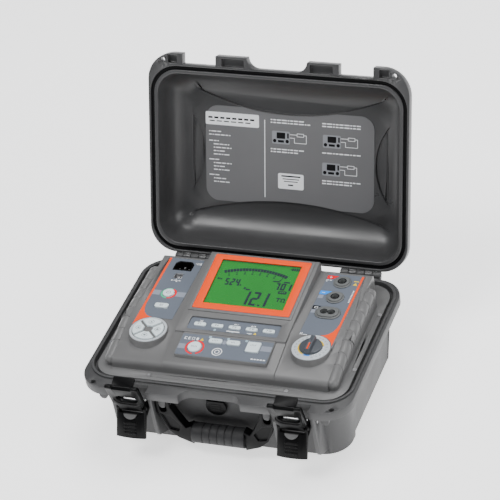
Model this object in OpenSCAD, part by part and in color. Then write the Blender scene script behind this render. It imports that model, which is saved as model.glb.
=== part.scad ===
// Insulation resistance tester built into a rugged carry case with a hinged lid.
// Millimetres. The origin is the centre of the underside: +X right, +Y towards the hinges, +Z up.

/* [Case] */
// Width over the rim flanges
case_w = 390; // [380:1:480]
// From the centre line to the front edge of the rim
front_y = 155; // [153:1:190]
// From the centre line to the rear edge of the rim
rear_y = 139; // [138:1:170]
// Height of the base up to its rim
base_h = 110; // [90:1:140]
// Height of the lid above the rim
lid_h = 62; // [60:1:80]
// Thickness of the rim flanges
flange_t = 13; // [10:1:15]
// Wall of the moulded shells
wall = 4; // [3:0.5:5]
// How far the side walls lean in between rim and floor
draft = 11; // [4:1:14]
// Corner radius of the shells in plan
corner_r = 36; // [28:1:42]
// Gap between the closed lid and the rim
rim_gap = 0.3; // [0.2:0.1:0.8]
// Angle from closed at which the open lid rests
lid_open = 111.3; // [95:0.1:118]

/* [Hinges] */
// Radius of the hinge knuckles
knuckle_r = 5.5; // [4.5:0.1:5.6]
// Radius of the hinge pins
hinge_pin_r = 2.5; // [1.5:0.1:3]
// Length of one knuckle with its gap
knuckle_pitch = 12; // [10:0.5:14]
// From the centre line to the middle of each hinge
hinge_x = 126; // [110:1:140]

/* [Latches] */
// From the centre line to the middle of each latch
latch_x = 117; // [115:1:125]
// Width of the notch that a latch works in
notch_w = 50; // [46:1:54]
// Thickness of the gussets beside the latches
fin_t = 5; // [4:0.5:6]
// Radius of the pins that carry the latch levers
latch_pin_r = 2.5; // [2:0.1:3]
// Length of the claw from its pin to its top
claw_l = 55.5; // [55:0.5:60]
// How far an open claw leans outwards, in degrees
claw_lean = 20; // [12:1:24]

/* [Handle] */
// Half of the distance between the handle's pivots
handle_x = 76; // [74:0.5:76]
// Height of the handle's pivots below the rim
handle_drop = 30; // [29:1:34]
// Length of the handle from its pivots to the middle of the grip
handle_l = 48; // [42:1:52]
// Radius of the grip
grip_r = 14.5; // [12:0.5:14.5]
// Length of the grip
grip_l = 76; // [70:1:80]
// Radius of the handle pins
handle_pin_r = 3; // [2:0.1:3.5]

/* [Panel] */
// Thickness of the moulded panel
panel_t = 3; // [2:0.5:3.5]
// Black gap between the panel and the rim
panel_gap = 5; // [4:0.5:7]
// Height of the side columns above the rim
column_h = 28.7; // [26:0.1:32]
// From the centre line to the middle of each column
column_x = 119.1; // [118:0.1:124]
// Half width of the centre block
block_hw = 81; // [80:1:84]
// Slope of the display and of the keypad, in degrees
slope = 5.4; // [3:0.1:7]
// Height of the display's plane above the rim at its front edge
display_h = 35.2; // [34:0.1:37]
// Height of the keypad's plane above the rim at its front edge
keypad_h = 24.9; // [24:0.1:26]
// Radius of the raised discs under the direction keys and the selector
disc_r = 27.5; // [25:0.5:28]
// Radius of the grip bars along the panel's sides
bar_r = 9; // [7:0.5:10]
// Radius of a panel screw's thread
screw_r = 1.5; // [1.2:0.1:2]

/* [Display] */
// Half width of the orange bezel
bezel_hw = 71.5; // [68:0.5:73]
// Half width of the visible display
view_hw = 59.2; // [55:0.1:62]
// Width of the bezel strip at the front and the rear
bezel_band = 11.3; // [9:0.1:13]

/* [Keys] */
// Travel of every key
key_travel = 0.8; // [0.5:0.1:1.2]
// Height of the key tops above the label
key_h = 1.5; // [1:0.1:2.5]
// Clearance around every key
key_gap = 0.35; // [0.3:0.05:0.5]
// Thickness of the printed labels
label_t = 0.6; // [0.4:0.1:0.8]

/* [Selector] */
// Radius of the selector knob
knob_r = 16.5; // [14:0.5:18]
// Height of the knob's grip bar
knob_h = 9; // [7:0.5:14]
// Radius of the knob's stem
stem_r = 3; // [2.5:0.1:4]

/* [Sockets] */
// Bore radius of the plus and minus sockets
socket_r = 4.5; // [4:0.1:5]
// Bore radius of the two guard socket holes
guard_r = 4; // [3.5:0.1:4.5]
// Depth of the socket bores
socket_depth = 24; // [20:1:26]
// Distance between sockets
socket_pitch = 34.5; // [33:0.5:36]

/* [Hidden] */
$fn = 64;
HULL_FN = 48;
half_w = case_w / 2;
rim = base_h;
draft_y = 0.55 * draft;
flange_bottom = base_h - flange_t;
hinge_y = rear_y + 6;
hinge_z = base_h + 2;
run = 0.05;
touch = 0.1;

// the opening inside the rim that takes the panel
open_x = half_w - 8;
open_front = -(front_y - 23);
open_rear = rear_y - 8;
tongue_w = 3.5;
tongue_h = 3;
ledge_z = base_h - 6;
seal_w = 1;

// the body of the base below the rim flange
body_x = half_w - 13;
body_front = -(front_y - 34);
body_rear = rear_y - 11;
side_recess = 3;
pillar_y = 52;

notch_back = -(front_y - 15.5);
notch_hw = notch_w / 2;
hand_hw = 28;
hand_r = 17;
padlock_r = 3.5;
padlock_x = half_w - 22.5;
padlock_y = -(front_y - 10.5);

latch_y = -(front_y - 17);
latch_z = base_h - 30;
lever_hw = 21.5;
arm_t = 4;
claw_y = -(front_y - 5);
claw_z = latch_z - 8;
claw_pin_r = 2;
claw_hw = notch_hw - 1.5;
tab_r = 60;
tab_front = -(front_y + 2);

handle_y = -(front_y - 19);
handle_z = base_h - handle_drop;
lug_w = 10;
cheek_t = 5;
handle_t = 14;
handle_hw = handle_x + lug_w / 2 + 0.4 + cheek_t;
core_r = 8;

plate_x = open_x - panel_gap;
plate_front = open_front + panel_gap;
plate_rear = open_rear - panel_gap;
plate_t = 3.5;
raised_front = -110;
raised_rear = 113;
raised_r = 8;
rear_r = 5;
drop_y = -30;
drop_a = 10.5;
bar_x = plate_x - 21;
bar_z = column_h + 0.3 - bar_r;
bar_front = -100;
bar_rear = 78.5;
groove_pitch = 21.4;
groove_lean = 27;
groove_depth = 0.8;
block_step = 2.2;
tier_y = -52;
house_y = -11;
house_hw = bezel_hw + 4.5;
house_rear = raised_rear - 4.5;
tier_drop = 1.4;
display_y = -6;
bezel_rear = 104.2;
strip_hw = 66.3;
strip_front = -46;
strip_rear = -21;
strip_h = display_h - 5.9;
pad_front = -96;
pad_rear = -55.5;
pad_hw = 66.5;
disc_y = -56.9;
label_in = 25.6;
label_out = 27.4;
label_rear = 106;
label_front = -52;
label_r = 3;
screw_holes = [[99.7, plate_front + 9.6], [plate_x - 3.5, -58.3], [plate_x - 3.5, 61.8]];
screw_len = 12;
boss_r = 4.5;

board_z = rim + 10.4;
board_t = 1.6;
switch_r = 14;

socket_y = 88;
inlet_y = 89;
inlet_w = 28;
inlet_d = 20;
inlet_cavity = 15;
usb_y = 65.5;
usb_w = 12;
usb_d = 11;

case_grey = [0.37, 0.37, 0.38];
lid_grey = [0.33, 0.33, 0.34];
panel_grey = [0.5, 0.5, 0.5];
label_blue = [0.5, 0.54, 0.6];
key_white = [0.84, 0.88, 0.89];
orange = [0.97, 0.44, 0.25];
black = [0.08, 0.08, 0.08];
steel = [0.7, 0.7, 0.72];
board_green = [0.1, 0.4, 0.2];

// points of an arc in a side view
function arc(c, r, a0, a1, n = 8) =
    [for (i = [0:n]) let (a = a0 + (a1 - a0) * i / n) [c.x + r * cos(a), c.y + r * sin(a)]];

// height above the rim of the sloping front of the columns, and of the display's plane
function drop_h(y) = column_h + tan(drop_a) * min(0, y - drop_y);
function display_at(y) = display_h + tan(slope) * (y - display_y);

// side view of the raised body; up lifts the front slope, t insets the inside
function body_view(t, up, z0) = let (
        fy = raised_front + raised_r,
        fz = drop_h(fy) + up - raised_r / cos(drop_a))
    concat([[raised_front + t, z0]],
        arc([fy, fz], raised_r - t, 180, 90 + drop_a));
function column_view(t, z0) = concat(body_view(t, 0, z0), [[drop_y, column_h - t]],
    arc([raised_rear - rear_r, column_h - rear_r], rear_r - t, 90, 0), [[raised_rear - t, z0]]);
function block_view(t, z0) = let (
        ry = raised_rear - 1 - rear_r,
        rz = display_at(ry) - tier_drop - rear_r)
    concat(body_view(t, block_step, z0),
        [[tier_y - 1 + t, drop_h(tier_y) + block_step - t],
         [tier_y + t, display_at(tier_y) - tier_drop - t]],
        arc([ry, rz], rear_r - t, 90 + slope, 0), [[raised_rear - 1 - t, z0]]);
// inside of the block: its ceiling is level under the function keys
function block_inside(t, z0) = let (
        ry = raised_rear - 1 - rear_r,
        rz = display_at(ry) - tier_drop - rear_r)
    concat(body_view(t, block_step, z0),
        [[tier_y - 1 + t, drop_h(tier_y) + block_step - t], [tier_y + t, strip_h - t],
         [house_y + t, strip_h - t], [house_y + t, display_at(house_y + t) - tier_drop - t]],
        arc([ry, rz], rear_r - t, 90 + slope, 0), [[raised_rear - 1 - t, z0]]);
function house_view(t, z0) = let (
        r = 4,
        rz = display_at(house_rear - r) - r)
    concat([[house_y + t, z0], [house_y + t, display_at(house_y + t) - t]],
        arc([house_rear - r, rz], r - t, 90 + slope, 0), [[house_rear - t, z0]]);

// a side view drawn across the part from -hw to hw, with heights above the rim
module across(hw, points) {
    translate([-hw, 0, rim]) rotate([90, 0, 90]) linear_extrude(2 * hw) polygon(points);
}

// a plan outline with round corners
module outline(x, y0, y1, r) {
    polygon([[-x + r, y0], [x - r, y0], [x, y0 + r], [x, y1 - r],
             [x - r, y1], [-x + r, y1], [-x, y1 - r], [-x, y0 + r]]);
    for (sx = [-1, 1]) {
        translate([sx * (x - r), y0 + r]) circle(r);
        translate([sx * (x - r), y1 - r]) circle(r);
    }
}

// a round-cornered slab between two heights
module slab(x, y0, y1, r, z0, z1) {
    translate([0, 0, z0]) linear_extrude(z1 - z0) outline(x, y0, y1, r);
}

// a ring between two concentric outlines
module ring(x, y0, y1, r, w, z0, z1) {
    difference() {
        slab(x + w, y0 - w, y1 + w, r + w, z0, z1);
        slab(x, y0, y1, r, z0 - 1, z1 + 1);
    }
}

// a pill or rounded rectangle centred on the origin
module pill(w, d, r, h) {
    linear_extrude(h) outline(w / 2, -d / 2, d / 2, r);
}

module both_sides() {
    children();
    mirror([1, 0, 0]) children();
}

// a rod along X
module rod(r, x0, x1, y, z) {
    translate([x0, y, z]) rotate([0, 90, 0]) cylinder(r = r, h = x1 - x0);
}

// ---------------------------------------------------------------- case

// the rim in plan, shared by base and lid
module rim_plan() {
    difference() {
        outline(half_w, -front_y, rear_y, corner_r + 4);
        for (s = [-1, 1])
            translate([s * latch_x - notch_hw, -front_y - 1]) square([notch_w, notch_back + front_y + 1]);
        translate([-hand_hw, -front_y - hand_r]) square([2 * hand_hw, hand_r + front_y + notch_back]);
        for (s = [-1, 1]) translate([s * hand_hw, notch_back - hand_r]) circle(hand_r);
        for (s = [-1, 1]) translate([s * padlock_x, padlock_y]) circle(padlock_r);
    }
}

// a drafted shell shape from the floor to the rim, inset by the wall
module base_form(ix, iy, z0) {
    hull() {
        slab(body_x - draft - ix, body_front + draft_y + iy, body_rear - draft_y - iy,
             corner_r - iy, z0, z0 + 1, $fn = HULL_FN);
        slab(body_x - ix, body_front + iy, body_rear - iy,
             corner_r - iy, flange_bottom, flange_bottom + 1, $fn = HULL_FN);
    }
}

// one gusset beside a latch, its inner face at x = 0
module fin(x) {
    translate([x, 0, 0]) rotate([90, 0, 90]) linear_extrude(fin_t)
        polygon([[body_front + 1.5, flange_bottom + 0.5], [-front_y + 4, flange_bottom + 0.5],
                 [-front_y + 8, 32], [-front_y + 13, 24], [body_front + draft_y + 1, 9]]);
}

// knuckles of one hinge: the base has the first, third and fifth, the lid has the others
module knuckles(first) {
    for (i = [first:2:4])
        rod(knuckle_r, (i - 2.5) * knuckle_pitch + 0.2, (i - 1.5) * knuckle_pitch - 0.2, hinge_y, hinge_z);
}

module knuckle_webs(first, z0, z1) {
    for (i = [first:2:4])
        translate([(i - 2.5) * knuckle_pitch + 0.2, rear_y - 1, z0])
            cube([knuckle_pitch - 0.4, hinge_y - rear_y + 1, z1 - z0]);
}

module handle_lug() {
    rotate([90, 0, 0]) translate([0, 0, front_y - 26]) linear_extrude(handle_t) {
        translate([-lug_w / 2, handle_z]) square([lug_w, flange_bottom + 0.5 - handle_z]);
        translate([0, handle_z]) circle(lug_w / 2);
    }
}

module corner_lug() {
    rotate([90, 0, 0]) translate([0, 0, front_y - 15]) linear_extrude(6) {
        translate([-6, flange_bottom - 9]) square([12, 9.5]);
        translate([0, flange_bottom - 9]) circle(6);
    }
}

module base_shell() {
    color(case_grey) difference() {
        union() {
            difference() {
                base_form(0, 0, 0);
                both_sides() translate([body_x - draft - side_recess, body_front + pillar_y, -0.5])
                    rotate([0, atan(draft / flange_bottom), 0])
                        cube([30, body_rear - body_front - 2 * pillar_y + 22, flange_bottom - 5]);
            }
            translate([0, 0, flange_bottom]) linear_extrude(flange_t) rim_plan();
            ring(open_x, open_front, open_rear, corner_r, tongue_w, rim - 1, rim + tongue_h);
            for (s = [-1, 1]) {
                fin(s * latch_x + notch_hw);
                fin(s * latch_x - notch_hw - fin_t);
                translate([s * handle_x, 0, 0]) handle_lug();
                translate([s * (padlock_x - 12), 0, 0]) corner_lug();
                translate([s * hinge_x, 0, 0]) {
                    knuckles(0);
                    knuckle_webs(0, rim - 11, rim);
                }
            }
            for (p = screw_holes, s = [-1, 1])
                translate([s * p.x, p.y, ledge_z - 20]) cylinder(r = boss_r, h = 19);
        }
        base_form(wall + side_recess, wall, wall);
        slab(body_x - wall - side_recess, body_front + wall, body_rear - wall, corner_r - wall,
             flange_bottom, ledge_z + 1);
        slab(open_x, open_front, open_rear, corner_r, ledge_z, rim + tongue_h + 1);
        for (p = screw_holes, s = [-1, 1])
            translate([s * p.x, p.y, ledge_z - 16]) cylinder(r = screw_r + touch, h = 17);
        for (s = [-1, 1]) {
            rod(hinge_pin_r + run, s * hinge_x - 40, s * hinge_x + 40, hinge_y, hinge_z);
            rod(handle_pin_r + run, s * handle_x - 8, s * handle_x + 8, handle_y, handle_z);
            rod(latch_pin_r + run, s * latch_x - notch_hw - fin_t - 1, s * latch_x + notch_hw + fin_t + 1,
                latch_y, latch_z);
        }
        on_front_wall() translate([0, 0, -wall - 8]) cylinder(r = valve_bore, h = wall + 16);
    }
}

valve_x = -5;
valve_z = base_h - 39;
valve_r = 15;
valve_bore = 6;
valve_y = body_front + draft_y * (flange_bottom - valve_z) / flange_bottom;

// a frame whose z axis points straight out of the sloping front wall
module on_front_wall() {
    translate([valve_x, valve_y, valve_z]) rotate([90 + atan(draft_y / flange_bottom), 0, 0]) children();
}

// a D-shaped cap over a breather stem
module pressure_valve() {
    color(black) on_front_wall() {
        translate([0, 0, 0.1]) linear_extrude(4.6) {
            difference() {
                circle(valve_r);
                translate([-valve_r - 1, 9]) square([2 * valve_r + 2, valve_r]);
            }
            translate([-valve_r + 2.2, 0]) square([2 * valve_r - 4.4, 10]);
        }
        for (i = [0:3]) translate([-7, -8 + 4 * i, 4]) cube([14, 1.6, 1.4]);
        translate([0, 0, -wall - 3]) cylinder(r = valve_bore - touch, h = wall + 4);
    }
}

module hinge_pins() {
    color(steel) for (s = [-1, 1])
        rod(hinge_pin_r, s * hinge_x - 2.5 * knuckle_pitch - 1, s * hinge_x + 2.5 * knuckle_pitch + 1,
            hinge_y, hinge_z);
}

module handle_pins() {
    color(steel) for (s = [-1, 1])
        rod(handle_pin_r, s * handle_x - lug_w / 2 - 0.4 - cheek_t + 0.5, s * handle_x + lug_w / 2 + 0.4 + cheek_t - 0.5,
            handle_y, handle_z);
}

module latch_pins() {
    color(steel) for (s = [-1, 1])
        rod(latch_pin_r, s * latch_x - notch_hw - fin_t, s * latch_x + notch_hw + fin_t, latch_y, latch_z);
}

// ---------------------------------------------------------------- lid, drawn closed and then opened

module opened() {
    translate([0, hinge_y, hinge_z]) rotate([-lid_open, 0, 0]) translate([0, -hinge_y, -hinge_z]) children();
}

lid_z = rim + rim_gap;
dome_x = open_x - 2;
dome_front = open_front + 2;
dome_rear = open_rear - 2;
lid_wall = wall;
outer_steps = [[flange_t - 1, 0], [lid_h - 30, 2.5], [lid_h - 16, 9], [lid_h - 7, 18], [lid_h - 2, 30], [lid_h, 42]];
inner_steps = [[-1, 0], [lid_h - 42, 1.5], [lid_h - 28, 5], [lid_h - 18, 11], [lid_h - 11, 20],
               [lid_h - 6, 34], [lid_h - 4, 46]];
mesa_h = 4;
mesa_z = lid_z + lid_h - 4 - mesa_h;
side_cut = 93;
rear_cut = 456;
front_cut = 350;

module dome(steps, inset) {
    hull() for (s = steps)
        slab(dome_x - inset - s[1], dome_front + inset + s[1], dome_rear - inset - s[1],
             max(corner_r - inset - s[1] / 2, 8), lid_z + s[0] - 0.2, lid_z + s[0], $fn = HULL_FN);
}

// the raised middle of the lid's ceiling: a rectangle with four hollow sides
module mesa_plan(grow) {
    difference() {
        square([2 * dome_x - 40, dome_rear - dome_front - 30], center = true);
        for (s = [-1, 1]) translate([s * (side_cut + 130 + half_w - 195), 0]) circle(side_cut - grow, $fn = 128);
        translate([0, rear_cut + 66]) circle(rear_cut - grow, $fn = 200);
        translate([0, -front_cut - 65]) circle(front_cut - grow, $fn = 200);
    }
}

module lid_shell() {
    color(lid_grey) opened() difference() {
        union() {
            translate([0, 0, lid_z]) linear_extrude(flange_t) rim_plan();
            dome(outer_steps, 0);
            for (s = [-1, 1]) translate([s * hinge_x, 0, 0]) {
                knuckles(1);
                knuckle_webs(1, lid_z, lid_z + 9);
            }
        }
        difference() {
            dome(inner_steps, lid_wall);
            translate([0, 0, mesa_z]) linear_extrude(mesa_h + 2) mesa_plan(0);
        }
        ring(open_x - seal_w, open_front + seal_w, open_rear - seal_w, corner_r - seal_w,
             tongue_w + 2 * seal_w, lid_z - 1, lid_z + tongue_h + 3);
        for (s = [-1, 1]) {
            rod(hinge_pin_r + run, s * hinge_x - 40, s * hinge_x + 40, hinge_y, hinge_z);
            translate([s * 66 - 17, -front_y + 3, lid_z - 1]) cube([34, 11.5, 9]);
            translate([s * (padlock_x - 15) - 7, -front_y + 3, lid_z - 1]) cube([14, 11.5, 9]);
        }
    }
}

module lid_gasket() {
    color(black) opened()
        ring(open_x - seal_w + touch, open_front + seal_w - touch, open_rear - seal_w + touch,
             corner_r - seal_w, tongue_w + 2 * seal_w - 2 * touch, lid_z + tongue_h + 0.2, lid_z + tongue_h + 2.9);
}

module lid_label() {
    color([0.42, 0.42, 0.43]) opened() translate([0, 0, mesa_z - label_t - 0.05]) linear_extrude(label_t)
        intersection() {
            outline(128, -71, 71, 20);
            mesa_plan(-1.5);
        }
}

// ---------------------------------------------------------------- handle

// half of the handle seen from the front, hanging from its pivot
module handle_half() {
    polygon([[handle_hw, 10], [handle_hw, -14], [handle_x - 3, -handle_l + 4], [handle_x - 16, -handle_l - 8],
             [grip_l / 2, -handle_l - 16.5], [grip_l / 2, -handle_l + 16], [grip_l / 2 + 9, -handle_l + 11],
             [grip_l / 2 + 18, -22], [handle_x - lug_w / 2 - cheek_t - 0.4, -3],
             [handle_x - lug_w / 2 - cheek_t - 0.4, 10]]);
}

module handle_frame() {
    color(black) translate([0, handle_y, handle_z]) difference() {
        union() {
            both_sides() rotate([90, 0, 0]) translate([0, 0, -handle_t / 2]) linear_extrude(handle_t) handle_half();
            rod(core_r, -grip_l / 2 - 2, grip_l / 2 + 2, 0, -handle_l);
        }
        both_sides() {
            translate([handle_x - lug_w / 2 - 0.4, -handle_t, -lug_w / 2 - 1.5])
                cube([lug_w + 0.8, 2 * handle_t, 30]);
            translate([0, 0, -lug_w / 2 - 1.5]) rotate([90, 0, 0]) translate([handle_x, 0, -handle_t])
                cylinder(r = lug_w / 2 + 0.4, h = 2 * handle_t);
            rod(handle_pin_r + run, handle_x - 20, handle_x + 20, 0, 0);
            // hollows that lighten the arms, seen from the front
            rotate([90, 0, 0]) translate([0, 0, handle_t / 2 - 3]) linear_extrude(4)
                polygon([[handle_hw - 4, -15], [handle_x - 5, -handle_l + 6], [grip_l / 2 + 20, -handle_l + 3],
                         [grip_l / 2 + 15, -handle_l + 14], [handle_x - 9, -19]]);
        }
    }
}

module handle_grip() {
    color([0.24, 0.24, 0.25]) translate([0, handle_y, handle_z - handle_l]) difference() {
        rod(grip_r, -grip_l / 2 + 0.05, grip_l / 2 - 0.05, 0, 0);
        rod(core_r + run, -grip_l, grip_l, 0, 0);
        for (i = [-2:2]) difference() {
            rod(grip_r + 1, 11 * i - 0.8, 11 * i + 0.8, 0, 0);
            rod(grip_r - 0.9, 11 * i - 1, 11 * i + 1, 0, 0);
        }
    }
}

// ---------------------------------------------------------------- latches

module lever_arm() {
    rotate([90, 0, 90]) translate([0, 0, lever_hw - arm_t]) linear_extrude(arm_t) {
        polygon([[latch_y - 1, latch_z + 5.3], [claw_y, claw_z + 4.8], [claw_y - 5, claw_z],
                 [tab_front + 5, latch_z - 18], [claw_y + 4, latch_z - 18], [latch_y + 4, latch_z - 4]]);
        translate([latch_y, latch_z]) circle(5.3);
        translate([claw_y, claw_z]) circle(4.8);
    }
}

module tab_shape(r, h) {
    translate([0, tab_front + tab_r, 0]) cylinder(r = r, h = h, $fn = 128);
}

module lever_body() {
    difference() {
        union() {
            both_sides() {
                lever_arm();
                rod(5, lever_hw - 1, notch_hw - 0.4, latch_y, latch_z);
            }
            intersection() {
                difference() {
                    translate([0, 0, latch_z - 50]) tab_shape(tab_r, 37);
                    translate([0, 0, latch_z - 51]) tab_shape(tab_r - 4, 33);
                }
                translate([-lever_hw, tab_front - 1, latch_z - 50]) cube([2 * lever_hw, 13, 37]);
            }
            for (i = [0:3]) intersection() {
                translate([0, 0, latch_z - 44 + 4.6 * i]) difference() {
                    tab_shape(tab_r + 1, 1.8);
                    translate([0, 0, -1]) tab_shape(tab_r - 1, 4);
                }
                translate([-9, tab_front - 3, latch_z - 50]) cube([18, 10, 40]);
            }
        }
        both_sides() {
            rod(latch_pin_r + run, 0, notch_w, latch_y, latch_z);
            rod(claw_pin_r + run, 0, notch_w, claw_y, claw_z);
        }
        translate([0, tab_front + 2.5, latch_z - 13]) rotate([90, 0, 0]) cylinder(r = 10.3, h = 10);
        translate([-lever_hw + arm_t, claw_y - 8, latch_z - 15]) cube([2 * (lever_hw - arm_t), 16, 12]);
    }
}

module release_tab() {
    intersection() {
        translate([0, tab_front + 2.4, latch_z - 13]) rotate([90, 0, 0]) cylinder(r = 10, h = 4);
        translate([-12, tab_front - 4, latch_z - 26]) cube([24, 10, 10.8]);
    }
}

// the claw drawn upright from its pin
module claw_body() {
    difference() {
        union() {
            translate([-claw_hw, -4, 16]) cube([2 * claw_hw, 6.5, claw_l - 16]);
            rotate([90, 0, 0]) translate([0, 0, -2.5]) linear_extrude(6.5)
                polygon([[-lever_hw + arm_t + 0.4, 0], [lever_hw - arm_t - 0.4, 0],
                         [lever_hw - arm_t - 0.4, 7], [claw_hw, 16.5], [-claw_hw, 16.5],
                         [-lever_hw + arm_t + 0.4, 7]]);
            rod(4.4, -lever_hw + arm_t + 0.4, lever_hw - arm_t - 0.4, 0, 0);
            // the hook that reaches over the lid's rim
            translate([-claw_hw + 8, 2, claw_l - 3.6]) cube([2 * claw_hw - 16, 13.5, 3.6]);
            both_sides() rod(3.2, claw_hw - 9, claw_hw, -1.2, claw_l - 1);
        }
        rotate([90, 0, 0]) translate([0, 25, -8]) linear_extrude(20) outline(16, -8.5, 8.5, 8.4);
        rotate([90, 0, 0]) translate([0, 25, 2.4]) linear_extrude(4) outline(18.5, -11, 11, 10.9);
        rod(claw_pin_r + run, -notch_hw, notch_hw, 0, 0);
        translate([-claw_hw + 9.4, -6, claw_l - 3]) rotate([14, 0, 0]) cube([2 * claw_hw - 18.8, 6, 6]);
    }
}

// the rest position: the lever swung out and the claw leaning forwards on its pin
lever_out = 25;
pin_y = latch_y + (claw_y - latch_y) * cos(lever_out) + (claw_z - latch_z) * sin(lever_out);
pin_z = latch_z - (claw_y - latch_y) * sin(lever_out) + (claw_z - latch_z) * cos(lever_out);

module swung_out() {
    translate([0, latch_y, latch_z]) rotate([-lever_out, 0, 0]) translate([0, -latch_y, -latch_z])
        children();
}

module leaned_claw() {
    translate([0, pin_y, pin_z]) rotate([claw_lean, 0, 0]) color(black) claw_body();
}

module claw_pin(x) {
    color(steel) rod(claw_pin_r, x - lever_hw, x + lever_hw, pin_y, pin_z);
}

module latch_left_lever() { color(black) translate([-latch_x, 0, 0]) swung_out() lever_body(); }
module latch_right_lever() { color(black) translate([latch_x, 0, 0]) swung_out() lever_body(); }
module latch_left_release() { color([0.4, 0.4, 0.4]) translate([-latch_x, 0, 0]) swung_out() release_tab(); }
module latch_right_release() { color([0.4, 0.4, 0.4]) translate([latch_x, 0, 0]) swung_out() release_tab(); }
module latch_left_pin() { claw_pin(-latch_x); }
module latch_right_pin() { claw_pin(latch_x); }
module latch_left_claw() { translate([-latch_x, 0, 0]) leaned_claw(); }
module latch_right_claw() { translate([latch_x, 0, 0]) leaned_claw(); }

// ---------------------------------------------------------------- panel

// frames whose z = 0 is the surface that labels lie on
module left_top() { translate([-column_x, 0, rim + column_h]) children(); }
module right_top() { translate([column_x, 0, rim + column_h]) children(); }
module strip_top() { translate([0, 0, rim + strip_h]) children(); }
module pad_top() {
    translate([0, pad_front, rim + keypad_h]) rotate([slope, 0, 0]) translate([0, -pad_front, 0]) children();
}
module display_top() {
    translate([0, display_y, rim + display_h]) rotate([slope, 0, 0]) translate([0, -display_y, 0]) children();
}

// key outlines
module round_key(r) { circle(r); }
module pill_key(w, d) { outline(w / 2, -d / 2, d / 2, d / 2 - 0.1); }
module square_key(w) { outline(w / 2, -w / 2, w / 2, 1.5); }
nav_r = 22;
nav_gap = 2.1;
module sector_key(grow) {
    difference() {
        intersection() {
            circle(nav_r + grow);
            rotate(45) translate([nav_gap - grow, nav_gap - grow]) square(nav_r + 5);
        }
        circle(7 - grow);
    }
}

// where each key stands: on the left column, on the function strip and on the keypad
power_y = 25.5;
power_r = 8.4;
light_y = -3.5;
fkey_x = [-49.5, -24, 1.5, 26.5, 51.5];
fkey_y = -35;
fkey_w = 17;
fkey_d = 7;
small_y = -65;
small_x = [-16, 10];
small_w = 19;
small_d = 8.5;
start_x = -42;
start_y = -80;
start_r = 9.5;
menu_x = 40;
menu_y = -69;
menu_w = 19;

module left_holes(grow) {
    translate([0, power_y]) circle(power_r + grow);
    translate([0, light_y]) outline(10 + grow, -4.7 - grow, 4.7 + grow, 3);
}
module strip_holes(grow) {
    for (x = fkey_x) translate([x, fkey_y])
        outline(fkey_w / 2 + grow, -fkey_d / 2 - grow, fkey_d / 2 + grow, 2.5);
}
module pad_holes(grow) {
    for (x = small_x) translate([x, small_y])
        outline(small_w / 2 + grow, -small_d / 2 - grow, small_d / 2 + grow, 2.5);
    translate([start_x, start_y]) circle(start_r + grow);
    translate([menu_x, menu_y]) outline(menu_w / 2 + grow, -menu_w / 2 - grow, menu_w / 2 + grow, 1.5);
}
module nav_holes(grow) {
    for (i = [0:3]) rotate(90 * i) sector_key(grow);
}

// a key: its cap, with a collar below the panel that stops it from falling out
module key(depth) {
    translate([0, 0, -depth]) linear_extrude(depth + label_t + key_h) children();
}
collar_z = panel_t + 0.4;

module disc_stem(r, extra) {
    translate([0, disc_y, -16 + extra]) cylinder(r = r, h = 16);
}

module raised_outside() {
    across(bar_x - 4, column_view(0, -0.5));
    across(block_hw, block_view(0, -0.5));
    across(house_hw, house_view(0, 20));
    // the platform of the keypad
    intersection() {
        pad_top() translate([0, 0, -8]) linear_extrude(8) outline(pad_hw + 1, pad_front - 1, pad_rear + 3, 3);
        translate([-100, -200, rim]) cube([200, 200 + tier_y - 0.5, 60]);
    }
    both_sides() {
        right_top() {
            disc_stem(disc_r, 0);
            translate([0, disc_y, -16]) cylinder(r1 = disc_r + 4, r2 = disc_r - 1, h = 13);
            // level ground for the label where the front slopes away
            translate([0, 0, -16]) linear_extrude(16)
                translate([0, label_front - 1.5]) square([label_out + 1.5, 40]);
        }
    }
    bars();
}

// grip bars: level along the column and falling with the front slope
bar_slope_l = (drop_y - bar_front) / cos(drop_a);
bar_front_z = bar_z + (bar_front - drop_y) * tan(drop_a);
module level_core(r, extra = 0.7) {
    translate([0, drop_y - extra, 0]) rotate([-90, 0, 0]) cylinder(r = r, h = bar_rear - drop_y + extra);
}
module sloped_core(r, extra = 0.7) {
    translate([0, drop_y, 0]) rotate([90 + drop_a, 0, 0]) translate([0, 0, -extra])
        cylinder(r = r, h = bar_slope_l + extra);
}
module bars() {
    w = bar_r - 0.6;
    both_sides() translate([bar_x, 0, rim]) {
        translate([0, 0, bar_z]) {
            level_core(bar_r);
            sloped_core(bar_r);
        }
        translate([0, bar_rear, bar_z]) sphere(bar_r + 0.05);
        translate([0, bar_front, bar_front_z]) sphere(bar_r + 0.05);
        translate([0, bar_rear, -0.5]) cylinder(r = w, h = bar_z + 0.5);
        translate([0, bar_front, -0.5]) cylinder(r = w, h = bar_front_z + 0.5);
        translate([-w + 0.3, 0, 0]) rotate([90, 0, 90]) linear_extrude(2 * w - 0.6)
            polygon([[bar_front, -0.5], [bar_front, bar_front_z + 1], [drop_y, bar_z + 1],
                     [bar_rear, bar_z + 1], [bar_rear, -0.5]]);
    }
}

module raised_inside() {
    t = panel_t;
    across(bar_x - 4 - t, column_view(t, -9));
    across(block_hw - t, block_inside(t, -9));
    across(house_hw - t, house_view(t, 10));
    both_sides() right_top() translate([0, disc_y, -20]) cylinder(r = disc_r - t, h = 20 - t);
    intersection() {
        pad_top() translate([0, 0, -12]) linear_extrude(12 - t)
            outline(pad_hw + 1 - t, pad_front - 1 + t, pad_rear + 3 - t, 2);
        translate([-100, -200, rim + 8]) cube([200, 200 + tier_y - 0.5 - t, 60]);
    }
}

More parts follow.
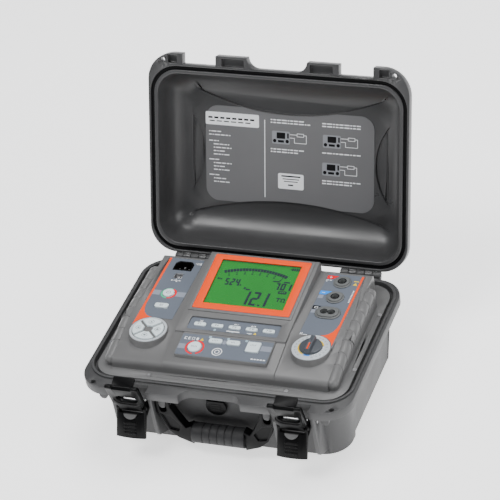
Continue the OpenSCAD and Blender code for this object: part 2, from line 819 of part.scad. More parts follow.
// a shallow slanted groove round the outer half of a grip bar
module grip_groove(y) {
    z = bar_z + tan(drop_a) * min(0, y - drop_y);
    difference() {
        translate([bar_x, y, rim + z]) rotate([-groove_lean, 0, 0])
            translate([-bar_r + 4, -0.6, -6]) cube([2 * bar_r, 1.2, bar_r + 10]);
        translate([bar_x, 0, rim + bar_z]) if (y > drop_y + 4) level_core(bar_r - groove_depth, 20);
        else sloped_core(bar_r - groove_depth, 20);
    }
}

module panel_plate() {
    color(panel_grey) difference() {
        union() {
            slab(plate_x, plate_front, plate_rear, corner_r - panel_gap, rim - plate_t, rim);
            ring(plate_x - 3, plate_front + 3, plate_rear - 3, corner_r - panel_gap - 3, 3,
                 ledge_z + touch, rim - plate_t + 0.5);
            raised_outside();
        }
        raised_inside();
        both_sides() for (i = [0:7]) grip_groove(69.5 - groove_pitch * i);
        for (p = screw_holes, s = [-1, 1]) {
            translate([s * p.x, p.y, ledge_z]) cylinder(r = screw_r + 0.3, h = 20);
            translate([s * p.x, p.y, rim - 1.8]) cylinder(r = 2 * screw_r + 0.2, h = 5);
        }
        // display: the bezel's recess, the window's seat and the view
        display_top() {
            translate([0, 0, -1.2]) linear_extrude(9)
                outline(bezel_hw + 0.2, display_y - 0.2, bezel_rear + 0.2, 2);
            translate([0, 0, -2.5]) linear_extrude(9)
                outline(view_hw + 3.2, display_y + bezel_band - 3.2, bezel_rear - bezel_band + 5, 1);
            translate([0, 0, -20]) linear_extrude(20)
                outline(view_hw + 0.8, display_y + bezel_band - 0.8, bezel_rear - bezel_band + 2.8, 1);
        }
        strip_top() {
            linear_extrude(9) outline(strip_hw, strip_front, strip_rear, 3);
            translate([0, 0, -20]) linear_extrude(30) strip_holes(key_gap);
        }
        pad_top() {
            translate([0, 0, -label_t + 0.1]) linear_extrude(9) outline(pad_hw, pad_front, pad_rear, 2);
            translate([0, 0, -20]) linear_extrude(30) pad_holes(key_gap);
        }
        left_top() {
            translate([0, 0, -label_t + 0.1]) linear_extrude(9) mirror([1, 0]) label_plan(0);
            translate([0, 0, -30]) linear_extrude(40) left_holes(key_gap);
            translate([0, disc_y, -0.8]) ring_recess();
            translate([0, disc_y, -30]) linear_extrude(40) nav_holes(key_gap);
            translate([0, inlet_y, -40]) linear_extrude(60) inlet_plan(0.2);
            translate([-usb_w / 2 - 0.2, usb_y - usb_d / 2 - 0.2, -40]) cube([usb_w + 0.4, usb_d + 0.4, 60]);
        }
        right_top() {
            translate([0, 0, -label_t + 0.1]) linear_extrude(9) label_plan(0);
            translate([0, disc_y, -0.8]) ring_recess();
            translate([0, disc_y, -30]) cylinder(r = stem_r + 0.5, h = 40);
            for (i = [0, 1]) translate([0, socket_y - socket_pitch * i, -30]) cylinder(r = 9 + touch, h = 40);
            translate([0, socket_y - 2 * socket_pitch, -30]) linear_extrude(40) outline(14 + touch, -8.6 - touch, 8.6 + touch, 8.6);
        }
    }
}

// the recess for the pale ring on top of a disc
module ring_recess() {
    difference() {
        cylinder(r = disc_r - 1 + touch, h = 5);
        translate([0, 0, -1]) cylinder(r = 23.2 - touch, h = 9);
    }
}

module panel_screws() {
    color(steel) for (p = screw_holes, s = [-1, 1]) translate([s * p.x, p.y, 0]) {
        translate([0, 0, ledge_z - screw_len + 2]) cylinder(r = screw_r, h = rim - 1 - ledge_z + screw_len - 2);
        translate([0, 0, rim - 1.8]) difference() {
            cylinder(r = 2 * screw_r, h = 2);
            translate([0, 0, 1]) cylinder(r = 1.5, h = 2, $fn = 6);
        }
    }
}

// column label in plan, drawn for the right column with the stripe on its right
module label_plan(inset) {
    difference() {
        union() {
            translate([-label_in + inset, label_front + 22]) square([label_in + label_out - 2 * inset, label_rear - label_front - 22 - inset]);
            translate([0, label_front]) square([label_out - inset, 24]);
        }
        translate([0, disc_y]) circle(disc_r - 0.3 + inset);
    }
}

module left_label() {
    color(label_blue) left_top() translate([0, 0, -label_t + 0.1]) difference() {
        linear_extrude(label_t) mirror([1, 0]) label_plan(touch);
        translate([0, 0, -1]) linear_extrude(5) {
            left_holes(key_gap);
            translate([0, inlet_y]) inlet_plan(0.3);
            translate([0, usb_y]) square([usb_w + 0.6, usb_d + 0.6], center = true);
        }
    }
}

module right_label() {
    color(label_blue) right_top() translate([0, 0, -label_t + 0.1]) difference() {
        linear_extrude(label_t) label_plan(touch);
        translate([0, 0, -1]) {
            for (i = [0, 1]) translate([0, socket_y - socket_pitch * i, 0]) cylinder(r = 9.4, h = 5);
            translate([0, socket_y - 2 * socket_pitch, 0]) linear_extrude(5) outline(14.4, -9, 9, 8.9);
        }
    }
}

module fkey_label() {
    color(label_blue) strip_top() difference() {
        translate([0, 0, 0.02]) linear_extrude(label_t)
            outline(strip_hw - 0.2, strip_front + 0.2, strip_rear - 0.2, 2.8);
        translate([0, 0, -1]) linear_extrude(5) strip_holes(key_gap);
    }
}

module keypad_label() {
    color(label_blue) pad_top() translate([0, 0, -label_t + 0.12]) difference() {
        linear_extrude(label_t) outline(pad_hw - 0.2, pad_front + 0.2, pad_rear - 0.2, 1.8);
        translate([0, 0, -1]) linear_extrude(5) pad_holes(key_gap);
    }
}

// a flat ring lying in a disc's recess
module disc_ring(inner) {
    translate([0, disc_y, -0.78]) difference() {
        cylinder(r = disc_r - 1, h = 1.5);
        translate([0, 0, -1]) cylinder(r = 23.2, h = 5);
    }
    if (inner < 23) translate([0, disc_y, 0.02]) difference() {
        cylinder(r = 23.4, h = 0.7);
        translate([0, 0, -1]) cylinder(r = inner, h = 5);
    }
}

module nav_ring() { color(key_white) left_top() disc_ring(23.2); }
module dial_ring() { color(key_white) right_top() disc_ring(stem_r + 1); }

module display_bezel() {
    color(orange) display_top() translate([0, 0, -1.18]) difference() {
        linear_extrude(1.5) outline(bezel_hw, display_y, bezel_rear, 2);
        translate([0, 0, -1]) linear_extrude(5)
            outline(view_hw, display_y + bezel_band, bezel_rear - bezel_band + 2, 0.8);
    }
}

module display_window() {
    color([0.6, 0.8, 0.6, 0.4]) display_top() translate([0, 0, -2.48]) linear_extrude(1.25)
        outline(view_hw + 3, display_y + bezel_band - 3, bezel_rear - bezel_band + 4.8, 1);
}

module lcd_module() {
    color([0.2, 0.6, 0.25]) display_top() translate([0, 0, -panel_t - 5.2]) linear_extrude(5)
        outline(view_hw + 3, display_y + bezel_band - 3, bezel_rear - bezel_band + 5, 1);
}

// ---------------------------------------------------------------- inlets and sockets

module inlet_plan(grow) {
    x = inlet_w / 2 + grow;
    y = inlet_d / 2 + grow;
    polygon([[-x, -y], [x, -y], [x, y - 5], [x - 5, y], [-x + 5, y], [-x, y - 5]]);
}

module mains_inlet() {
    color(black) left_top() translate([0, inlet_y, 0]) difference() {
        translate([0, 0, -26]) linear_extrude(27) inlet_plan(0);
        translate([0, 0, 1 - inlet_cavity]) linear_extrude(20) inlet_plan(-1.8);
        for (p = [[-7, -2], [7, -2], [0, 2]])
            translate([p.x - 1.1, p.y - 2.1, -24]) cube([2.2, 4.2, 20]);
    }
}

module inlet_pins() {
    color(steel) left_top() translate([0, inlet_y, 0]) for (p = [[-7, -2], [7, -2], [0, 2]])
        translate([p.x - 1, p.y - 2, -23.9]) cube([2, 4, 19]);
}

module usb_socket() {
    color(steel) left_top() translate([0, usb_y, 0]) difference() {
        translate([-usb_w / 2, -usb_d / 2, board_z + board_t - rim - column_h + touch])
            cube([usb_w, usb_d, column_h + 0.6 - (board_z + board_t - rim) - touch]);
        difference() {
            translate([-usb_w / 2 + 0.8, -usb_d / 2 + 0.8, -8]) cube([usb_w - 1.6, usb_d - 1.6, 20]);
            translate([-2.8, -1.8, -9]) cube([5.6, 3.6, 8]);
        }
    }
}

// a panel socket: a stepped collar above the label and a deep insulated bore
module round_socket(i) {
    right_top() translate([0, socket_y - socket_pitch * i, 0]) difference() {
        union() {
            translate([0, 0, -socket_depth - 3]) cylinder(r = 9, h = socket_depth + 4);
            translate([0, 0, 0.12]) cylinder(r = 13, h = 1.3);
            translate([0, 0, 0.5]) cylinder(r = 10.4, h = 2.7);
        }
        translate([0, 0, 3.2 - socket_depth]) cylinder(r = socket_r, h = socket_depth + 1);
        translate([0, 0, -socket_depth - 4]) cylinder(r = 2 + run, h = 10);
    }
}

module socket_plus() { color([0.45, 0.46, 0.46]) round_socket(0); }
module socket_minus() { color([0.45, 0.46, 0.46]) round_socket(1); }
module socket_guard() {
    color([0.45, 0.46, 0.46]) right_top() translate([0, socket_y - 2 * socket_pitch, 0]) difference() {
        union() {
            translate([0, 0, -socket_depth - 3]) linear_extrude(socket_depth + 4) outline(14, -8.6, 8.6, 8.5);
            translate([0, 0, 0.12]) linear_extrude(1.3) outline(18.5, -13, 13, 12.9);
            translate([0, 0, 0.5]) linear_extrude(2.7) outline(15.5, -10.4, 10.4, 10.3);
        }
        for (s = [-1, 1]) {
            translate([s * 5.4, 0, 3.2 - socket_depth]) cylinder(r = guard_r, h = socket_depth + 1);
            translate([s * 5.4, 0, -socket_depth - 4]) cylinder(r = 2 + run, h = 10);
        }
    }
}

module contact() {
    translate([0, 0, -socket_depth - 7]) {
        cylinder(r = 2, h = 10);
        translate([-1.5, -0.5, -5]) cube([3, 1, 6]);
    }
}

module socket_contacts() {
    color(steel) right_top() {
        for (i = [0, 1]) translate([0, socket_y - socket_pitch * i, 0]) contact();
        for (s = [-1, 1]) translate([s * 5.4, socket_y - 2 * socket_pitch, 0]) contact();
    }
}

// ---------------------------------------------------------------- inside

module main_board() {
    color(board_green) {
        translate([0, 0, board_z]) linear_extrude(board_t) {
            translate([-block_hw + 6, -95]) square([2 * block_hw - 12, 195]);
            translate([-146, -95]) square([147 - block_hw + 6, 168]);
            translate([block_hw - 7, -95]) square([147 - block_hw + 6, 94]);
        }
        for (x = [-50:25:50]) translate([x, 0, board_z - 5]) cube([14, 14, 6]);
        for (s = [-1, 1]) translate([s * 60, 70, board_z - 12]) cylinder(r = 6, h = 13);
    }
}

mat_drop = panel_t + 1.5 + key_travel + 0.4;
module mat(x0, y0, x1, y1, top) {
    translate([x0, y0, top - 1.5]) cube([x1 - x0, y1 - y0, 1.5]);
    for (x = [x0 + 3, x1 - 3], y = [y0 + 3, y1 - 3])
        translate([x, y, board_z + board_t + 0.02]) cylinder(r = 2, h = top - board_z - board_t - 1);
}

module keypad_mats() {
    color([0.3, 0.3, 0.32]) {
        mat(-column_x - 14, light_y - 9, -column_x + 14, power_y + 12, rim + column_h - mat_drop);
        translate([0, 0, 0]) mat(-62, fkey_y - 7, 62, fkey_y + 7, rim + strip_h - mat_drop);
        pad_mat();
        translate([-column_x, disc_y, rim + column_h - mat_drop - 1.5]) cylinder(r = 21, h = 1.5);
        for (a = [0:90:270]) translate([-column_x + 17 * cos(a), disc_y + 17 * sin(a), board_z + board_t + 0.02])
            cylinder(r = 2, h = rim + column_h - mat_drop - 1 - board_z - board_t);
    }
}

module pad_mat() {
    pad_top() translate([-60, -91, -mat_drop - 1.5]) cube([120, 33, 1.5]);
    for (x = [-57, 57], y = [-87, -62]) translate([x, y, board_z + board_t + 0.02]) cylinder(r = 2, h = 4);
}

module selector_switch() {
    color(black) translate([column_x, disc_y, board_z + board_t]) difference() {
        translate([0, 0, touch]) cylinder(r = switch_r, h = rim + column_h - panel_t - board_z - board_t - 2 * touch);
        translate([0, 0, 2]) cylinder(r = stem_r + run, h = 30);
    }
}

module battery_pack() {
    color([0.2, 0.35, 0.6]) translate([-150, 0, wall + touch]) {
        translate([0, -54, 0]) cube([130, 108, 4]);
        for (i = [0:3], s = [-1, 1]) translate([17 + 32 * i, s * 26, 18]) rotate([90, 0, 0])
            cylinder(r = 15.5, h = 50, center = true);
    }
}

module hv_module() {
    color([0.15, 0.15, 0.17]) translate([10, -50, wall + touch]) {
        cube([88, 104, 38]);
        translate([10, 10, 37]) cube([68, 40, 6]);
        for (y = [62, 84]) translate([44, y, 37]) cylinder(r = 7, h = 9);
    }
}

module power_board() {
    color(board_green) translate([106, -50, wall + touch]) {
        translate([0, 0, 6]) cube([48, 104, board_t]);
        for (x = [4, 44], y = [4, 100]) translate([x, y, 0]) cylinder(r = 3, h = 7);
        translate([8, 10, 7]) cube([32, 30, 24]);
        for (y = [58, 84]) translate([24, y, 7]) cylinder(r = 10, h = 26);
    }
}

// ---------------------------------------------------------------- selector knob

knob_base_z = 1.05;
module selector_knob() {
    color([0.4, 0.42, 0.46]) right_top() translate([0, disc_y, 0]) difference() {
        union() {
            translate([0, 0, knob_base_z]) cylinder(r1 = knob_r, r2 = knob_r - 0.8, h = 3);
            translate([0, 0, knob_base_z + 2]) intersection() {
                cylinder(r = knob_r - 1, h = knob_h - 2);
                translate([-4.2, -knob_r, 0]) cube([8.4, 2 * knob_r, knob_h]);
            }
            translate([0, 0, -panel_t - 9]) cylinder(r = stem_r, h = panel_t + 11);
        }
        translate([-0.9, -knob_r + 2, knob_base_z + knob_h - 1]) cube([1.8, knob_r - 3, 3]);
        for (s = [-1, 1]) translate([s * 4.2, 0, knob_base_z + 3]) rotate([0, -s * 9, 0])
            translate([s * 2 - 2, -knob_r, 0]) cube([4, 2 * knob_r, knob_h + 4]);
    }
}

module knob_pointer() {
    color(orange) right_top() translate([-0.8, disc_y - knob_r + 2.1, knob_base_z + knob_h - 0.98])
        cube([1.6, knob_r - 3.2, 1.1]);
}

// ---------------------------------------------------------------- keys

module stepped_key(cap, w, d) {
    key(collar_z) children();
    translate([0, 0, -collar_z - 1.2]) linear_extrude(1.25) outline(w / 2 + 1.2, -d / 2 - 1.2, d / 2 + 1.2, 1.2);
}

module key_power() {
    color(key_white) left_top() translate([0, power_y, 0]) {
        key(collar_z) round_key(power_r);
        translate([0, 0, -collar_z - 1.2]) cylinder(r = power_r + 1.5, h = 1.25);
    }
}

module key_light() {
    color(key_white) left_top() translate([0, light_y, 0]) stepped_key(0, 20, 9.4) outline(10, -4.7, 4.7, 3);
}

// a direction key, turned to its side of the pad
module nav_key(a) {
    color(key_white) left_top() translate([0, disc_y, 0.6]) rotate(a) {
        translate([0, 0, -collar_z - 0.6]) linear_extrude(collar_z + 2.4) sector_key(0);
        translate([0, 0, -collar_z - 1.8]) linear_extrude(1.25) sector_key(1.2);
    }
}
module key_up() { nav_key(0); }
module key_left() { nav_key(90); }
module key_down() { nav_key(180); }
module key_right() { nav_key(270); }

module function_key(i) {
    color(key_white) strip_top() translate([fkey_x[i], fkey_y, 0])
        stepped_key(0, fkey_w, fkey_d) outline(fkey_w / 2, -fkey_d / 2, fkey_d / 2, 2.5);
}
module key_f1() { function_key(0); }
module key_f2() { function_key(1); }
module key_f3() { function_key(2); }
module key_f4() { function_key(3); }
module key_f5() { function_key(4); }

module small_key(i) {
    color(key_white) pad_top() translate([small_x[i], small_y, 0])
        stepped_key(0, small_w, small_d) outline(small_w / 2, -small_d / 2, small_d / 2, 2.5);
}
module key_enter() { small_key(0); }
module key_esc() { small_key(1); }

module key_start() {
    color(key_white) pad_top() translate([start_x, start_y, 0]) {
        key(collar_z) round_key(start_r);
        translate([0, 0, -collar_z - 1.2]) cylinder(r = start_r + 1.5, h = 1.25);
    }
}

module key_menu() {
    color(key_white) pad_top() translate([menu_x, menu_y, 0])
        stepped_key(0, menu_w, menu_w) square_key(menu_w);
}

base_shell();
pressure_valve();
hinge_pins();
handle_pins();
latch_pins();
panel_plate();
panel_screws();
display_bezel();
display_window();
lcd_module();
left_label();
right_label();
fkey_label();
keypad_label();
nav_ring();
dial_ring();
mains_inlet();
inlet_pins();
usb_socket();
socket_plus();
socket_minus();
socket_guard();
socket_contacts();
main_board();
keypad_mats();
selector_switch();
battery_pack();
hv_module();
power_board();
lid_shell();
lid_gasket();
lid_label();
handle_frame();
handle_grip();
latch_left_lever();
latch_left_release();
latch_left_pin();
latch_left_claw();
latch_right_lever();
latch_right_release();
latch_right_pin();
latch_right_claw();
selector_knob();
knob_pointer();
key_power();
key_light();
key_up();
key_down();
key_left();
key_right();
key_f1();
key_f2();
key_f3();
key_f4();
key_f5();
key_enter();
key_esc();
key_start();
key_menu();
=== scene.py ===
import math
import bpy
from mathutils import Matrix, Vector


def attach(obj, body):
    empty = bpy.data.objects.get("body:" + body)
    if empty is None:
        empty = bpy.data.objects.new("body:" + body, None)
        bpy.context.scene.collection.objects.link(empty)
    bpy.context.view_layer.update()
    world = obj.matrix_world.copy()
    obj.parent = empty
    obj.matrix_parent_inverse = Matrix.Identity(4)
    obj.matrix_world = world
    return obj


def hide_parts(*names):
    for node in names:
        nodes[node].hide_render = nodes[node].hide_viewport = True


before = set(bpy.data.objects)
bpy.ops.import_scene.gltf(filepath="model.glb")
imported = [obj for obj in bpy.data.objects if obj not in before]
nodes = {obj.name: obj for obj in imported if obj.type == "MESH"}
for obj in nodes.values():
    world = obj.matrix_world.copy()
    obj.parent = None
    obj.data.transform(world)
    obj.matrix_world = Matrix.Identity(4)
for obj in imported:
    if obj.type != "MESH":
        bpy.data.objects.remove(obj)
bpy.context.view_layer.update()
mm = 0.001

# angles in degrees, places in metres
cameraSetup = {
    "place": (1.1713, -2.5122, 2.2635),
    "azimuth": 24.48,
    "elevation": 36.09,
    "roll": -9.37,
    "lens": 181.44,
    "sensor": 36,
    "farthest": 50,
}


def setCamera(setup):
    azimuth, elevation, roll = (math.radians(setup[k]) for k in ("azimuth", "elevation", "roll"))
    back = Vector((math.sin(azimuth) * math.cos(elevation),
                   -math.cos(azimuth) * math.cos(elevation), math.sin(elevation)))
    flat = Vector((math.cos(azimuth), math.sin(azimuth), 0))
    up = back.cross(flat)
    right = flat * math.cos(roll) + up * math.sin(roll)
    top = up * math.cos(roll) - flat * math.sin(roll)
    turn = Matrix((right, top, back)).transposed().to_4x4()
    data = bpy.data.cameras.new("camera")
    data.lens = setup["lens"]
    data.sensor_width = setup["sensor"]
    data.clip_end = setup["farthest"]
    camera = bpy.data.objects.new("camera", data)
    bpy.context.scene.collection.objects.link(camera)
    camera.matrix_world = Matrix.Translation(setup["place"]) @ turn
    bpy.context.scene.camera = camera


# place, size and power of each soft light
lightSetup = {
    "key": ((-1.0, -1.1, 2.9), 1.3, 62),
    "fill": ((2.4, -0.6, 1.3), 1.4, 26),
    "top": ((0.3, 0.9, 2.7), 1.6, 58),
}
studioSetup = {"aim": (0, 0, 0.15), "sky": (0.93, 0.95, 1.0, 1), "skyStrength": 0.3}


def addLight(name, place, size, power):
    data = bpy.data.lights.new(name, "AREA")
    data.size = size
    data.energy = power
    lamp = bpy.data.objects.new(name, data)
    bpy.context.scene.collection.objects.link(lamp)
    lamp.location = place
    aim = Vector(studioSetup["aim"]) - Vector(place)
    lamp.rotation_euler = aim.to_track_quat("-Z", "Y").to_euler()


setCamera(cameraSetup)
for lampName, (lampPlace, lampSize, lampPower) in lightSetup.items():
    addLight(lampName, lampPlace, lampSize, lampPower)
world = bpy.data.worlds.new("studio")
world.use_nodes = True
sky = world.node_tree.nodes["Background"]
sky.inputs["Color"].default_value = studioSetup["sky"]
sky.inputs["Strength"].default_value = studioSetup["skyStrength"]
bpy.context.scene.world = world
print("camera and lights set")


def newMaterial(name):
    material = bpy.data.materials.new(name)
    material.use_nodes = True
    tree = material.node_tree
    return material, tree, tree.nodes["Principled BSDF"]


# a shader node with some of its sockets set
def addNode(tree, kind, values=None):
    node = tree.nodes.new("ShaderNode" + kind)
    for socket, value in (values or {}).items():
        node.inputs[socket].default_value = value
    return node


def addRamp(tree, low, high, start=0.0, end=1.0):
    ramp = addNode(tree, "ValToRGB")
    first, last = ramp.color_ramp.elements
    first.position, last.position = start, end
    first.color, last.color = (*low, 1), (*high, 1)
    return ramp


def scaled(colour, factor, lift=0.0):
    return [min(1, c * factor + lift) for c in colour]


# what every moulded finish shares: broad mottling, a fine grain, and a painted highlight that makes sharp
# convex edges paler
mouldSetup = {
    "broadScale": 14,
    "spread": (0.3, 0.7),
    "glossSwing": 0.07,
    "grainHeight": 0.0006,
    # painted highlight on convex edges: the pointiness range it covers, and how much paler those edges are
    # painted
    "edgeHighlightRange": (0.52, 0.6),
    "edgeHighlightFactor": 1.6,
    "edgeHighlightLift": 0.06,
}


def mouldedMaterial(name, colour, rough, grain, grainDepth, mottle, edgeHighlight=0.0, specular=0.5):
    setup = mouldSetup
    low, high = setup["spread"]
    material, tree, shader = newMaterial(name)
    join = tree.links.new
    place = addNode(tree, "TexCoord")
    broad = addNode(tree, "TexNoise", {"Scale": setup["broadScale"], "Detail": 5})
    join(place.outputs["Object"], broad.inputs["Vector"])
    ramp = addRamp(tree, scaled(colour, 1 - mottle), scaled(colour, 1 + mottle), low, high)
    join(broad.outputs["Fac"], ramp.inputs["Fac"])
    tint = ramp.outputs["Color"]
    # painted highlight: convex edges, found by pointiness, are mixed towards a paler colour of the finish
    if edgeHighlight:
        geometry = addNode(tree, "NewGeometry")
        edge = addRamp(tree, (0, 0, 0), (1, 1, 1), *setup["edgeHighlightRange"])
        join(geometry.outputs["Pointiness"], edge.inputs["Fac"])
        highlightShare = addNode(tree, "Math")
        highlightShare.operation = "MULTIPLY"
        highlightShare.inputs[1].default_value = edgeHighlight
        join(edge.outputs["Color"], highlightShare.inputs[0])
        mix = addNode(tree, "Mix")
        mix.data_type = "RGBA"
        join(highlightShare.outputs[0], mix.inputs["Factor"])
        join(tint, mix.inputs["A"])
        mix.inputs["B"].default_value = (*scaled(colour, setup["edgeHighlightFactor"], setup["edgeHighlightLift"]), 1)
        tint = mix.outputs["Result"]
    join(tint, shader.inputs["Base Color"])
    gloss = addNode(tree, "MapRange", {
        "From Min": low, "From Max": high,
        "To Min": max(0.05, rough - setup["glossSwing"]), "To Max": min(1, rough + setup["glossSwing"])})
    join(broad.outputs["Fac"], gloss.inputs["Value"])
    join(gloss.outputs["Result"], shader.inputs["Roughness"])
    fine = addNode(tree, "TexNoise", {"Scale": grain, "Detail": 3})
    join(place.outputs["Object"], fine.inputs["Vector"])
    bump = addNode(tree, "Bump", {"Strength": grainDepth, "Distance": setup["grainHeight"]})
    join(fine.outputs["Fac"], bump.inputs["Height"])
    join(bump.outputs["Normal"], shader.inputs["Normal"])
    shader.inputs["Specular IOR Level"].default_value = specular
    return material


# drawn metal: fine streaks along the part
steelSetup = {"colour": (0.6, 0.6, 0.61), "rough": 0.3, "streak": (400, 30, 30), "scale": 5}


def makeSteelMaterial(setup):
    material, tree, shader = newMaterial("steel")
    join = tree.links.new
    place = addNode(tree, "TexCoord")
    mapping = addNode(tree, "Mapping", {"Scale": setup["streak"]})
    noise = addNode(tree, "TexNoise", {"Scale": setup["scale"], "Detail": 4})
    join(place.outputs["Object"], mapping.inputs["Vector"])
    join(mapping.outputs["Vector"], noise.inputs["Vector"])
    ramp = addRamp(tree, scaled(setup["colour"], 0.85), scaled(setup["colour"], 1.1))
    join(noise.outputs["Fac"], ramp.inputs["Fac"])
    join(ramp.outputs["Color"], shader.inputs["Base Color"])
    gloss = addNode(tree, "MapRange", {"To Min": setup["rough"] - 0.08, "To Max": setup["rough"] + 0.12})
    join(noise.outputs["Fac"], gloss.inputs["Value"])
    join(gloss.outputs["Result"], shader.inputs["Roughness"])
    shader.inputs["Metallic"].default_value = 1
    return material


# a backlit green that is a little uneven
displaySetup = {"dim": (0.0005, 0.13, 0.007), "bright": (0.002, 0.2, 0.012), "glow": 0.3, "scale": 12}


def makeDisplayMaterial(setup):
    material, tree, shader = newMaterial("lcdGreen")
    join = tree.links.new
    place = addNode(tree, "TexCoord")
    noise = addNode(tree, "TexNoise", {"Scale": setup["scale"]})
    join(place.outputs["Object"], noise.inputs["Vector"])
    ramp = addRamp(tree, setup["dim"], setup["bright"])
    join(noise.outputs["Fac"], ramp.inputs["Fac"])
    join(ramp.outputs["Color"], shader.inputs["Base Color"])
    join(ramp.outputs["Color"], shader.inputs["Emission Color"])
    shader.inputs["Emission Strength"].default_value = setup["glow"]
    shader.inputs["Specular IOR Level"].default_value = 0.05
    shader.inputs["Roughness"].default_value = 0.4
    return material


windowSetup = {"tint": (0.7, 0.95, 0.75, 1), "alpha": 0.02, "rough": (0.08, 0.2), "scale": 60}


def makeWindowMaterial(setup):
    material, tree, shader = newMaterial("windowClear")
    join = tree.links.new
    place = addNode(tree, "TexCoord")
    noise = addNode(tree, "TexNoise", {"Scale": setup["scale"]})
    join(place.outputs["Object"], noise.inputs["Vector"])
    smooth, dull = setup["rough"]
    gloss = addNode(tree, "MapRange", {"To Min": smooth, "To Max": dull})
    join(noise.outputs["Fac"], gloss.inputs["Value"])
    join(gloss.outputs["Result"], shader.inputs["Roughness"])
    shader.inputs["Base Color"].default_value = setup["tint"]
    shader.inputs["Alpha"].default_value = setup["alpha"]
    shader.inputs["Specular IOR Level"].default_value = 0.05
    return material


# colour, roughness, grain scale and depth, mottling, then painted edge highlight and specular level where
# they differ
mouldedFinishes = {
    "casePlastic": ((0.052, 0.052, 0.053), 0.46, 1500, 0.22, 0.05, 0.3, 0.35),
    "lidPlastic": ((0.042, 0.042, 0.043), 0.34, 1500, 0.12, 0.05, 0.25, 0.55),
    "panelPlastic": ((0.135, 0.135, 0.135), 0.4, 1800, 0.1, 0.04, 0.25, 0.4),
    "blackPlastic": ((0.002, 0.002, 0.0022), 0.34, 1400, 0.08, 0.15, 0.03, 0.14),
    "releasePlastic": ((0.08, 0.08, 0.08), 0.38, 1400, 0.1, 0.05, 0.0, 0.3),
    "gripRubber": ((0.016, 0.016, 0.017), 0.55, 1200, 0.3, 0.1, 0.25, 0.3),
    "sealRubber": ((0.002, 0.002, 0.0025), 0.6, 1600, 0.3, 0.1, 0.0, 0.15),
    "labelSheet": ((0.13, 0.15, 0.185), 0.45, 2500, 0.06, 0.03, 0.0, 0.25),
    "labelBand": ((0.26, 0.285, 0.34), 0.45, 2500, 0.06, 0.03, 0.0, 0.25),
    "lidSheet": ((0.14, 0.141, 0.145), 0.42, 2500, 0.06, 0.03, 0.0, 0.3),
    "ringPale": ((0.52, 0.56, 0.59), 0.42, 2500, 0.05, 0.03, 0.0, 0.3),
    "keyPale": ((0.74, 0.84, 0.87), 0.45, 2000, 0.12, 0.04, 0.1, 0.35),
    "knobPlastic": ((0.06, 0.068, 0.08), 0.33, 1600, 0.12, 0.05, 0.3, 0.45),
    "socketPlastic": ((0.12, 0.126, 0.126), 0.4, 1600, 0.12, 0.05, 0.25, 0.35),
    "bezelOrange": ((1.0, 0.075, 0.006), 0.45, 2200, 0.06, 0.04, 0.0, 0.15),
    "inkOrange": ((1.0, 0.075, 0.006), 0.5, 2500, 0.04, 0.03, 0.0, 0.15),
    "inkWhite": ((0.86, 0.88, 0.9), 0.5, 2500, 0.04, 0.02),
    "inkPale": ((0.24, 0.25, 0.27), 0.5, 2500, 0.04, 0.02),
    "inkGrey": ((0.14, 0.17, 0.19), 0.5, 2500, 0.04, 0.03),
    # black used for printed ink, and also for the painted shade round the socket bores
    "blackInkAndShade": ((0.003, 0.003, 0.004), 0.5, 2500, 0.04, 0.05, 0.0, 0.15),
    "inkRed": ((0.85, 0.0005, 0.012), 0.5, 2500, 0.04, 0.03, 0.0, 0.12),
    "inkSky": ((0.004, 0.28, 0.95), 0.5, 2500, 0.04, 0.03, 0.0, 0.12),
    "inkLink": ((0.36, 0.5, 0.58), 0.45, 2500, 0.04, 0.03),
    "inkGreen": ((0.04, 0.55, 0.28), 0.5, 2500, 0.04, 0.03, 0.0, 0.15),
    "inkYellow": ((0.95, 0.66, 0.003), 0.5, 2500, 0.04, 0.03, 0.0, 0.12),
    "lcdInk": ((0.0008, 0.002, 0.022), 0.6, 2500, 0.03, 0.08, 0.0, 0.05),
    "boardGreen": ((0.02, 0.13, 0.05), 0.4, 1200, 0.1, 0.1),
    "batteryWrap": ((0.03, 0.09, 0.28), 0.3, 800, 0.05, 0.05),
}
finishes = {name: mouldedMaterial(name, *values) for name, values in mouldedFinishes.items()}
finishes["steel"] = makeSteelMaterial(steelSetup)
finishes["lcdGreen"] = makeDisplayMaterial(displaySetup)
finishes["windowClear"] = makeWindowMaterial(windowSetup)
print("materials made")


def deselectAll():
    if bpy.context.object and bpy.context.object.mode != "OBJECT":
        bpy.ops.object.mode_set(mode="OBJECT")
    bpy.ops.object.select_all(action="DESELECT")


def pick(obj):
    deselectAll()
    obj.select_set(True)
    bpy.context.view_layer.objects.active = obj


def paint(obj, finish):
    obj.data.materials.clear()
    obj.data.materials.append(finishes[finish])


def applyModifiers(obj):
    pick(obj)
    for modifier in list(obj.modifiers):
        bpy.ops.object.modifier_apply(modifier=modifier.name)


# move an object's placement into its mesh, so that its origin is the world's
def settle(obj):
    pick(obj)
    bpy.ops.object.transform_apply(location=True, rotation=True, scale=True)


edgeSetup = {"sharpest": math.radians(35), "smooth": math.radians(38), "merge": 0.00001}


def addBevel(obj, width, segments):
    modifier = obj.modifiers.new("bevel", "BEVEL")
    modifier.width = width
    modifier.segments = segments
    modifier.limit_method = "ANGLE"
    modifier.angle_limit = edgeSetup["sharpest"]
    modifier.use_clamp_overlap = False
    modifier.miter_outer = "MITER_ARC"


# a copy of a frame node with its edges broken the way a mould leaves them
def roundedCopy(nodeName, body, finish, width, segments, merge):
    source = nodes[nodeName]
    piece = source.copy()
    piece.data = source.data.copy()
    piece.parent = None
    piece.name = nodeName + "_skin"
    for key in list(piece.keys()):
        del piece[key]
    bpy.context.scene.collection.objects.link(piece)
    pick(piece)
    bpy.ops.object.mode_set(mode="EDIT")
    bpy.ops.mesh.select_all(action="SELECT")
    bpy.ops.mesh.remove_doubles(threshold=merge)
    bpy.ops.object.mode_set(mode="OBJECT")
    addBevel(piece, width, segments)
    applyModifiers(piece)
    pick(piece)
    bpy.ops.object.shade_smooth_by_angle(angle=edgeSetup["smooth"])
    paint(piece, finish)
    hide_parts(nodeName)
    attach(piece, body)


